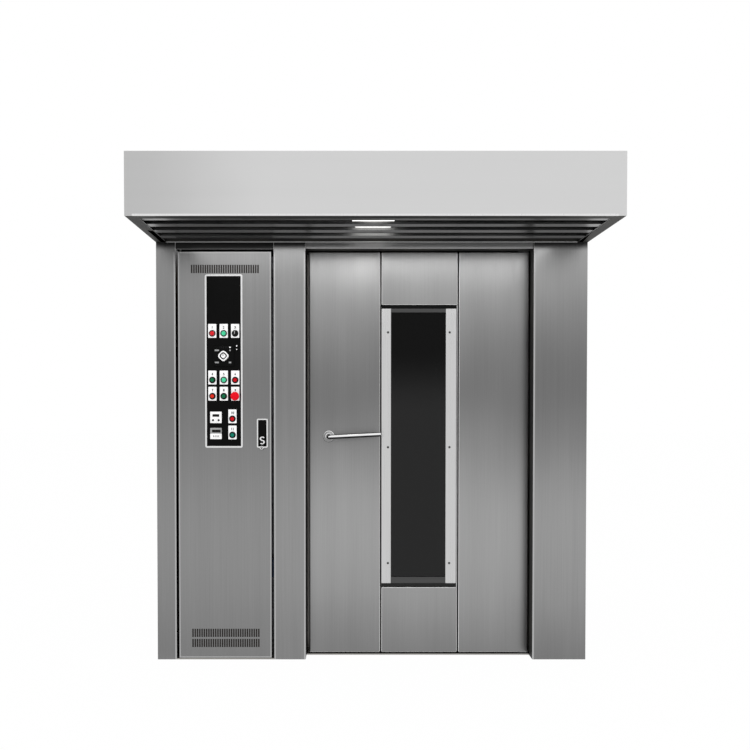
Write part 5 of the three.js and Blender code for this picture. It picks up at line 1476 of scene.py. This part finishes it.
def printed(
    texts: Sequence[tuple], height: float, name: str, material: Material, body: str
) -> None:
    """Thin raised numbers that face the front, joined as one piece.

    Args:
        texts: (text, place of its middle) for each number.
        height: height of the figures.
        name: the piece's name.
        material: its finish.
        body: the body that it moves with.
    """
    surfaces = []
    for text, place in texts:
        curve = bpy.data.curves.new("figure", "FONT")
        curve.body = text
        curve.size = height
        curve.align_x, curve.align_y = "CENTER", "CENTER"
        curve.extrude = 0.15 * MM
        curve.offset = 0.5 * MM
        curve.resolution_u = 2
        holder = bpy.data.objects.new("figure", curve)
        mesh = bpy.data.meshes.new_from_object(holder)
        flat = np.zeros(len(mesh.vertices) * 3)
        mesh.vertices.foreach_get("co", flat)
        faces = [list(polygon.vertices) for polygon in mesh.polygons]
        surfaces.append(Surface(Facing.FRONT.place(flat.reshape(-1, 3), place), faces))
        bpy.data.objects.remove(holder)
        bpy.data.curves.remove(curve)
        bpy.data.meshes.remove(mesh)
    add_piece(name, surfaces, material, body)


@dataclass
class ControlDoor:
    """The narrow door of the control cabinet, and its latch."""

    finishes: Finishes
    pivot_low: float = 7 * MM  # the node's box also holds its pivot pins, below and above the sheet
    pivot_high: float = 25.5 * MM
    edge_width: float = 8 * MM
    vents_x: float = 217.7 * MM  # middle of the vents, from the door's left edge
    vents_z: tuple = (78 * MM, 125.5 * MM, 1820 * MM)
    mat_size: tuple = (330 * MM, 44 * MM, 9 * MM)
    bow: float = 8 * MM  # radius of each half of the key's bow
    wire: float = 4.8 * MM

    def latch(self) -> None:
        """A bright steel rim round a black pocket, with the swing lever in it."""
        f = self.finishes
        low, high, mid = middle("latch_housing")
        width, height = high[0] - low[0], high[2] - low[2]
        rim = ringed((mid[0], low[1], mid[2]), (width, height), 7 * MM, 6.7 * MM, 2.2 * MM, 7 * MM)
        size = (width - 12 * MM, height - 12 * MM, 12 * MM)
        pocket = pressed((mid[0], low[1] + 8.2 * MM, mid[2]), size, 0.3 * MM, 3 * MM)
        add_piece("latch_rim", [rim], f.fold, "cabinet_door", ["latch_housing"])
        add_piece("latch_pocket", [pocket], f.black, "cabinet_door")
        node = "latch_lever"
        low, high, mid = middle(node)
        size = (high[0] - low[0] - 3 * MM, high[2] - low[2], high[1] - low[1])
        paddle = pressed((mid[0], low[1], mid[2]), size, 1.6 * MM, 3 * MM)
        add_piece("latch_paddle", [paddle], f.black, BODY_OF[node], [node])

    def key(self) -> None:
        """The latch's key: its bow is a small S of bright wire, and a ring hangs from it."""
        low, _, mid = middle("latch_lever")
        bow = self.bow
        turn = np.linspace(math.radians(30), math.radians(300), 20)
        still = np.zeros(20)
        upper = np.stack([bow * np.cos(turn), still, bow * np.sin(turn) + 8.5 * MM], axis=1)
        back = turn[::-1]
        lower = np.stack([-bow * np.cos(back), still, -bow * np.sin(back) - 7.5 * MM], axis=1)
        path = np.concatenate([upper, lower])
        path += np.array([mid[0], low[1] - 1.6 * MM, low[2] + 22 * MM])
        turn = np.linspace(0, 2 * math.pi, 17)
        hoop = mm([(7 + 2.6 * math.cos(t), 2.6 * math.sin(t)) for t in turn])
        front = middle("latch_housing")[0][1] - 3.2 * MM
        ring = turned(hoop, (mid[0] - 3 * MM, front, low[2] - 11 * MM), sides=32, bore=True)
        wire = swept(path, self.wire, 12, (0.0, 1.0, 0.0))
        add_piece("latch_key", [wire, ring], self.finishes.chrome, BODY_OF["latch_lever"])

    def build(self) -> None:
        """Builds the door."""
        f = self.finishes
        formed("cabinet_door_panel", f.cabinet_door, 0.5 * MM, 1)
        low, high, mid = middle("cabinet_door_panel")
        foot, head = low[2] + self.pivot_low, high[2] - self.pivot_high
        place = (mid[0], low[1] - 0.2 * MM, (foot + head) / 2)
        size = (high[0] - low[0], head - foot)
        rolled = ringed(place, size, self.edge_width, 6 * MM, 2.4 * MM, 2 * MM)
        add_piece("cabinet_door_rolled_edge", [rolled], f.rolled, "cabinet_door")
        mats = [
            pressed((low[0] + self.vents_x, low[1] + 4 * MM, z), self.mat_size, MM, 3 * MM)
            for z in self.vents_z
        ]
        add_piece("vent_filter_mats", mats, f.tyre, "cabinet_door")
        self.latch()
        self.key()
        ControlPanel(f).build()


# ------------------------------------------------------------------ chamber, trolley and drive


@dataclass
class Chamber:
    """The chamber's liner, its duct panel, the frame that the door closes on and the wool behind them."""

    finishes: Finishes

    def build(self) -> None:
        """Builds the chamber."""
        for node, edge in (("door_frame", 1.5), ("chamber_liner", 1.0), ("air_duct_panel", 0.8)):
            formed(node, self.finishes.liner, edge * MM)
        dress("chamber_insulation", self.finishes.wool)


@dataclass
class Trolley:
    """The hanging rack with its tray runners and four wheels."""

    finishes: Finishes

    def wheel(self, node: str) -> None:
        """A phenolic wheel: a rounded tread, a recessed web and a hub with its bore.

        Args:
            node: the wheel's node.
        """
        low, high, mid = middle(node)
        half, r = (high[0] - low[0]) / 2 / MM, (high[2] - low[2]) / 2 / MM
        web = half - 7
        side = [
            (6.3, half), (14, half), (15, half - 1), (16, web), (r - 14, web), (r - 12, half - 2),
            (r - 10, half), (r - 4, half), (r - 1, half - 1.5), (r, half - 5),
        ]
        profile = side + [(radius, -level) for radius, level in reversed(side)] + [side[0]]
        tyre = turned(mm(profile), mid, Facing.RIGHT, 48, bore=True)
        add_piece(node + "_turned", [tyre], self.finishes.tyre, BODY_OF[node], [node])

    def build(self) -> None:
        """Builds the trolley."""
        for node, edge in (("rack_trolley", 1.2), ("rack_runners_left", 0.6), ("rack_runners_right", 0.6)):
            formed(node, self.finishes.liner, edge * MM)
        for node in (n for n in BODY_OF if n.startswith("caster_wheel")):
            self.wheel(node)


@dataclass
class RackDrive:
    """Gearmotor, sprockets, roller chain, bearing and shaft on the roof deck."""

    finishes: Finishes
    pitch: float = 19.05 * MM
    rack_teeth: int = 38
    drive_teeth: int = 15
    link_radius: float = 5.8 * MM
    link_levels: tuple = (3.1 * MM, 3.9 * MM)  # of the inner and the outer plates, from the middle
    link_half: float = 0.4 * MM  # half a plate's thickness
    motor_radius: float = 60 * MM
    motor_start: float = 150 * MM  # where the motor meets its gearbox, from the gearbox's front
    gearbox: float = 150 * MM  # width of the square gearbox
    flange: float = 14 * MM  # thickness of the bearing's flange
    bolt: float = 58 * MM  # of each bolt from the shaft's middle, across and along

    def loop(self) -> Array:
        """The chain's pitch line: two arcs on the pitch circles, joined by their outer tangents.

        Returns:
            The line's points, closed on the first one.
        """
        _, _, small = middle("drive_sprocket")
        _, _, big = middle("rack_shaft")
        teeth = (self.drive_teeth, self.rack_teeth)
        r_small, r_big = (self.pitch / (2 * math.sin(math.pi / n)) for n in teeth)
        gap = big[0] - small[0]
        lean = math.acos((r_big - r_small) / gap)
        arc_big = np.linspace(-(math.pi - lean), math.pi - lean, 80)
        arc_small = np.linspace(math.pi - lean, math.pi + lean, 30)
        level = middle("drive_chain")[2][2]
        arcs = [
            np.stack([centre[0] + r * np.cos(arc), centre[1] + r * np.sin(arc)], axis=1)
            for centre, r, arc in ((big, r_big, arc_big), (small, r_small, arc_small))
        ]
        line = np.concatenate([*arcs, arcs[0][:1]])
        return raised(line, level)

    def chain(self) -> None:
        """Rollers one pitch apart, with inner and outer link plates between them by turns."""
        line = self.loop()
        steps = np.linalg.norm(np.diff(line, axis=0), axis=1)
        length = np.concatenate([[0], np.cumsum(steps)])
        count = 2 * round(length[-1] / self.pitch / 2)
        marks = np.linspace(0, length[-1], count, endpoint=False)
        pins = np.stack([np.interp(marks, length, line[:, k]) for k in range(3)], axis=1)
        pin = mm([(0, 5), (2.8, 5), (2.8, 3), (5, 3), (5, -3), (2.8, -3), (2.8, -5), (0, -5)])
        r = self.link_radius
        links = []
        for i, (here, there) in enumerate(zip(pins, np.roll(pins, -1, axis=0))):
            links.append(turned(pin, here, Facing.TOP, 10))
            span = np.linalg.norm(there - here)
            ahead = (there - here) / span
            side = np.array([-ahead[1], ahead[0], 0.0])
            flat = outline(span + 2 * r * 0.9, 1.8 * r, 0.85 * r, 3)
            ring = (here + there) / 2 + flat[:, :1] * ahead + flat[:, 1:] * side
            for sign in (-1, 1):
                level = sign * self.link_levels[i % 2]
                faces = (level - self.link_half, level + self.link_half)
                links.append(lofted(np.array([ring + [0, 0, z] for z in faces])))
        add_piece("roller_chain", links, self.finishes.machined, "cabinet", ["drive_chain"])

    def motor(self) -> None:
        """The gearmotor's finned housing, its fan cowl and its terminal box, over the gearbox."""
        f = self.finishes
        low, high, _ = middle("gearmotor")
        radius, wide = self.motor_radius, self.gearbox
        x, z = high[0] - wide / 2, low[2] + radius + 2 * MM
        start, end = low[1] + self.motor_start, high[1]
        foot = (x, low[1] + wide / 2, low[2] + 74 * MM)
        gearbox = pressed(foot, (wide, wide, 74 * MM), 5 * MM, 12 * MM, Facing.TOP)
        # Cooling fins: the radius steps between the core and the fin tips 24 times round.
        fins = finned(radius, 7 * MM, 24, 192)
        levels = (start + 30 * MM, start + 32 * MM, end - 52 * MM, end - 50 * MM)
        rings = [
            np.column_stack([x + fins[:, 0], np.full(len(fins), y), z + fins[:, 1]]) for y in levels
        ]
        r = radius / MM
        cowl_line = [(0, 0), (r - 10, 0), (r - 3, -3), (r, -9), (r, -48), (0, -48)]
        cowl = turned(mm(cowl_line), (x, end, z), Facing.BACK, 48)
        neck_line = [(0, 0), (44, 0), (50, -4), (50, -28), (44, -32), (0, -32)]
        neck = turned(mm(neck_line), (x, start + 31 * MM, z), Facing.BACK, 40)
        size = (76 * MM, 58 * MM, 60 * MM)
        box = pressed((low[0], start + 105 * MM, z), size, 4 * MM, 5 * MM, Facing.LEFT)
        housing = [gearbox, lofted(np.array(rings)), cowl, neck, box]
        add_piece("gearmotor_housing", housing, f.paint, "cabinet", ["gearmotor"])
        shaft_line = [(0, 0), (13, 0), (14, -1), (14, -50), (0, -50)]
        shaft = turned(mm(shaft_line), (x, low[1] + wide / 2, high[2]), Facing.TOP, 32)
        add_piece("gearmotor_shaft", [shaft], f.machined, "cabinet")

    def bearing(self) -> None:
        """A flanged bearing with four bolts."""
        f = self.finishes
        low, high, mid = middle("shaft_bearing")
        top, wide = low[2] + self.flange, high[0] - low[0]
        flange = pressed((mid[0], mid[1], top), (wide, wide, self.flange), 3 * MM, 20 * MM, Facing.TOP)
        boss_line = [
            (20.3, 14), (20.3, 50), (45, 50), (48, 48), (52, 22), (60, 14), (20.3, 14),
        ]
        boss = turned(mm(boss_line), (mid[0], mid[1], low[2]), Facing.TOP, 56, bore=True)
        add_piece("bearing_housing", [flange, boss], f.iron, "cabinet", ["shaft_bearing"])
        head = mm([(0, 7), (8, 7), (9, 6), (9, -1), (0, -1)])
        away = (-self.bolt, self.bolt)
        heads = [
            turned(head, (mid[0] + dx, mid[1] + dy, top), Facing.TOP, 6) for dx in away for dy in away
        ]
        add_piece("bearing_bolts", heads, f.machined, "cabinet")

    def build(self) -> None:
        """Builds the drive."""
        formed("rack_shaft", self.finishes.machined, 0.8 * MM)
        formed("drive_sprocket", self.finishes.machined, 0.8 * MM)
        self.chain()
        self.motor()
        self.bearing()


@dataclass
class HeatSide:
    """What stands in the side compartment and before it: burner, heat exchanger, steam generator, fan and the
    bulkhead with its switch blocks.
    """

    finishes: Finishes
    flange_radius: float = 100 * MM
    fan_motor_radius: float = 80 * MM

    def fan_motor(self) -> None:
        """The upright fan motor: a bolted flange, a finned body, a domed cowl and a terminal box."""
        low, high, mid = middle("circulation_fan_motor")
        x, y = high[0] - self.flange_radius, mid[1]
        radius, wide = self.fan_motor_radius, self.flange_radius / MM
        base, top = low[2], high[2]
        flange_line = [(0, 0), (wide, 0), (wide, 11), (wide - 3, 12), (0, 12)]
        flange = turned(mm(flange_line), (x, y, base), Facing.TOP, 56)
        fins = finned(radius, 9 * MM, 30, 240) + (x, y)
        levels = (base + 12 * MM, base + 14 * MM, top - 46 * MM, top - 44 * MM)
        body = lofted(np.array([raised(fins, z) for z in levels]))
        r = radius / MM
        cowl_line = [(0, 0), (r - 18, 0), (r - 8, -2), (r - 2, -8), (r, -16), (r, -45), (0, -45)]
        cowl = turned(mm(cowl_line), (x, y, top), Facing.TOP, 56)
        size = (70 * MM, 70 * MM, 50 * MM)
        box = pressed((low[0], y, base + 85 * MM), size, 4 * MM, 6 * MM, Facing.LEFT)
        housing, nodes = [flange, body, cowl, box], ["circulation_fan_motor"]
        add_piece("fan_motor_housing", housing, self.finishes.paint, "cabinet", nodes)

    @staticmethod
    def switches(middles: Array, normals: Array, low: Array, high: Array) -> Array:
        """Picks the switch blocks, which stand in front of the bulkhead's sheet."""
        return middles[:, 1] < SWITCHES_Y

    def build(self) -> None:
        """Builds the side compartment's pieces."""
        f = self.finishes
        formed("heat_exchanger", f.heat_stained, 2.0 * MM)
        formed("burner", f.paint, 4.0 * MM, 3)
        formed("steam_generator", f.iron, 1.5 * MM)
        formed("circulation_fan_impeller", f.heat_stained, 0.4 * MM)
        formed("cabinet_bulkhead", f.galvanised, 1.5 * MM, inside=f.switchgear, rule=self.switches)
        self.fan_motor()


# ------------------------------------------------------------------ studio


@dataclass
class Studio:
    """A white sweep, soft lamps and the camera."""

    eye: tuple = (-0.104, -4.191, 1.193)
    pitch: float = -1.12  # degrees above the horizon
    sensor: float = 36  # width in millimetres
    focal: float = 796.3 / 750  # as a share of the sensor's width
    shift: tuple = (0.0342, 0.0599)
    floor_half: float = 30.0  # half the floor's width
    floor_white: float = 0.985  # share of pure white in the floor; the rest keeps a faint shadow

    def camera(self) -> None:
        """The camera stands before the doors, a little left of the middle."""
        data = bpy.data.cameras.new("camera")
        data.lens = self.focal * self.sensor
        data.sensor_width = self.sensor
        data.shift_x, data.shift_y = self.shift
        camera = bpy.data.objects.new("camera", data)
        camera.location = self.eye
        camera.rotation_euler = (math.radians(90 + self.pitch), 0, 0)
        bpy.context.collection.objects.link(camera)
        bpy.context.scene.camera = camera

    def white_seen(self, tree: NodeTree) -> Socket:
        """1 where the eye, a mirror or glass looks, 0 where light falls.

        Args:
            tree: the node tree.
        Returns:
            The socket.
        """
        path = add_node(tree, "LightPath").outputs
        looks = {0: path["Is Camera Ray"], 1: path["Is Glossy Ray"]}
        seen = add_node(tree, "Math", looks, operation="MAXIMUM").outputs[0]
        through = {0: seen, 1: path["Is Transmission Ray"]}
        return add_node(tree, "Math", through, operation="MAXIMUM").outputs[0]

    def world(self) -> None:
        """White for the eye, for metal and for glass, and a softer light for matt surfaces."""
        world = bpy.data.worlds.new("studio")
        bpy.context.scene.world = world
        world.use_nodes = True
        tree = world.node_tree
        tree.nodes.clear()
        seen = self.white_seen(tree)
        strength = add_node(tree, "MapRange", {"Value": seen, "To Min": 0.9, "To Max": 1.0}).outputs["Result"]
        light = add_node(tree, "Background", {"Color": (1, 1, 1, 1), "Strength": strength})
        add_node(tree, "OutputWorld", {"Surface": light.outputs[0]})

    def floor(self) -> None:
        """A pale floor that keeps a faint shadow."""
        size = self.floor_half
        mesh = bpy.data.meshes.new("floor")
        corners = [(-size, -size, 0), (size, -size, 0), (size, size, 0), (-size, size, 0)]
        mesh.from_pydata(corners, [], [(0, 1, 2, 3)])
        floor = bpy.data.objects.new("floor", mesh)
        bpy.context.collection.objects.link(floor)
        material = bpy.data.materials.new("white_floor")
        material.use_nodes = True
        tree = material.node_tree
        tree.nodes.clear()
        matt = add_node(tree, "BsdfDiffuse", {"Color": (0.9, 0.9, 0.9, 1)})
        white = add_node(tree, "Emission", {"Color": (1, 1, 1, 1), "Strength": 1.0})
        parts = {0: self.white_seen(tree), 1: self.floor_white}
        share = add_node(tree, "Math", parts, operation="MULTIPLY").outputs[0]
        mixed = add_node(tree, "MixShader", {0: share, 1: matt.outputs[0], 2: white.outputs[0]})
        add_node(tree, "OutputMaterial", {"Surface": mixed.outputs[0]})
        mesh.materials.append(material)

    def lamp(
        self,
        name: str,
        place: Point,
        aim: Point,
        size: Sequence[float],
        power: float,
        softly: bool = False,
    ) -> None:
        """One soft box.

        Args:
            name: its name.
            place: its middle.
            aim: the point it looks at.
            size: width and height.
            power: watts.
            softly: true when metal doesn't mirror it.
        """
        data = bpy.data.lights.new(name, "AREA")
        data.shape = "RECTANGLE"
        data.size, data.size_y = size
        data.energy = power
        lamp = bpy.data.objects.new(name, data)
        lamp.visible_camera = False
        lamp.visible_glossy = not softly
        lamp.location = place
        lamp.rotation_euler = (Vector(aim) - Vector(place)).to_track_quat("-Z", "Y").to_euler()
        bpy.context.collection.objects.link(lamp)

    def build(self) -> None:
        """Sets the studio up."""
        bpy.context.scene.view_settings.view_transform = "Standard"
        self.camera()
        self.world()
        self.floor()
        for name, x in (("left_strip", -4.2), ("right_strip", 4.2)):
            self.lamp(name, (x, -1.6, 1.6), (0, -0.4, 1.1), (1.0, 3.0), 18, softly=True)
        self.lamp("overhead", (0, -1.0, 5.0), (0, 0, 1.0), (4.0, 3.0), 45, softly=True)
        self.lamp("under_hood", (0, -0.75, 1.93), (0, -0.75, 1.5), (1.7, 0.4), 3)


def main() -> None:
    """Builds the oven in order and reports each piece."""
    logging.basicConfig(level=logging.INFO, format="%(message)s")
    Studio().build()
    finishes = Finishes()
    for assembly in (
        Casing(finishes), Hood(finishes), OvenDoor(finishes), ControlDoor(finishes), Chamber(finishes),
        Trolley(finishes), RackDrive(finishes), HeatSide(finishes),
    ):
        assembly.build()
        LOG.info("%s done", type(assembly).__name__)


if __name__ == "__main__":
    main()
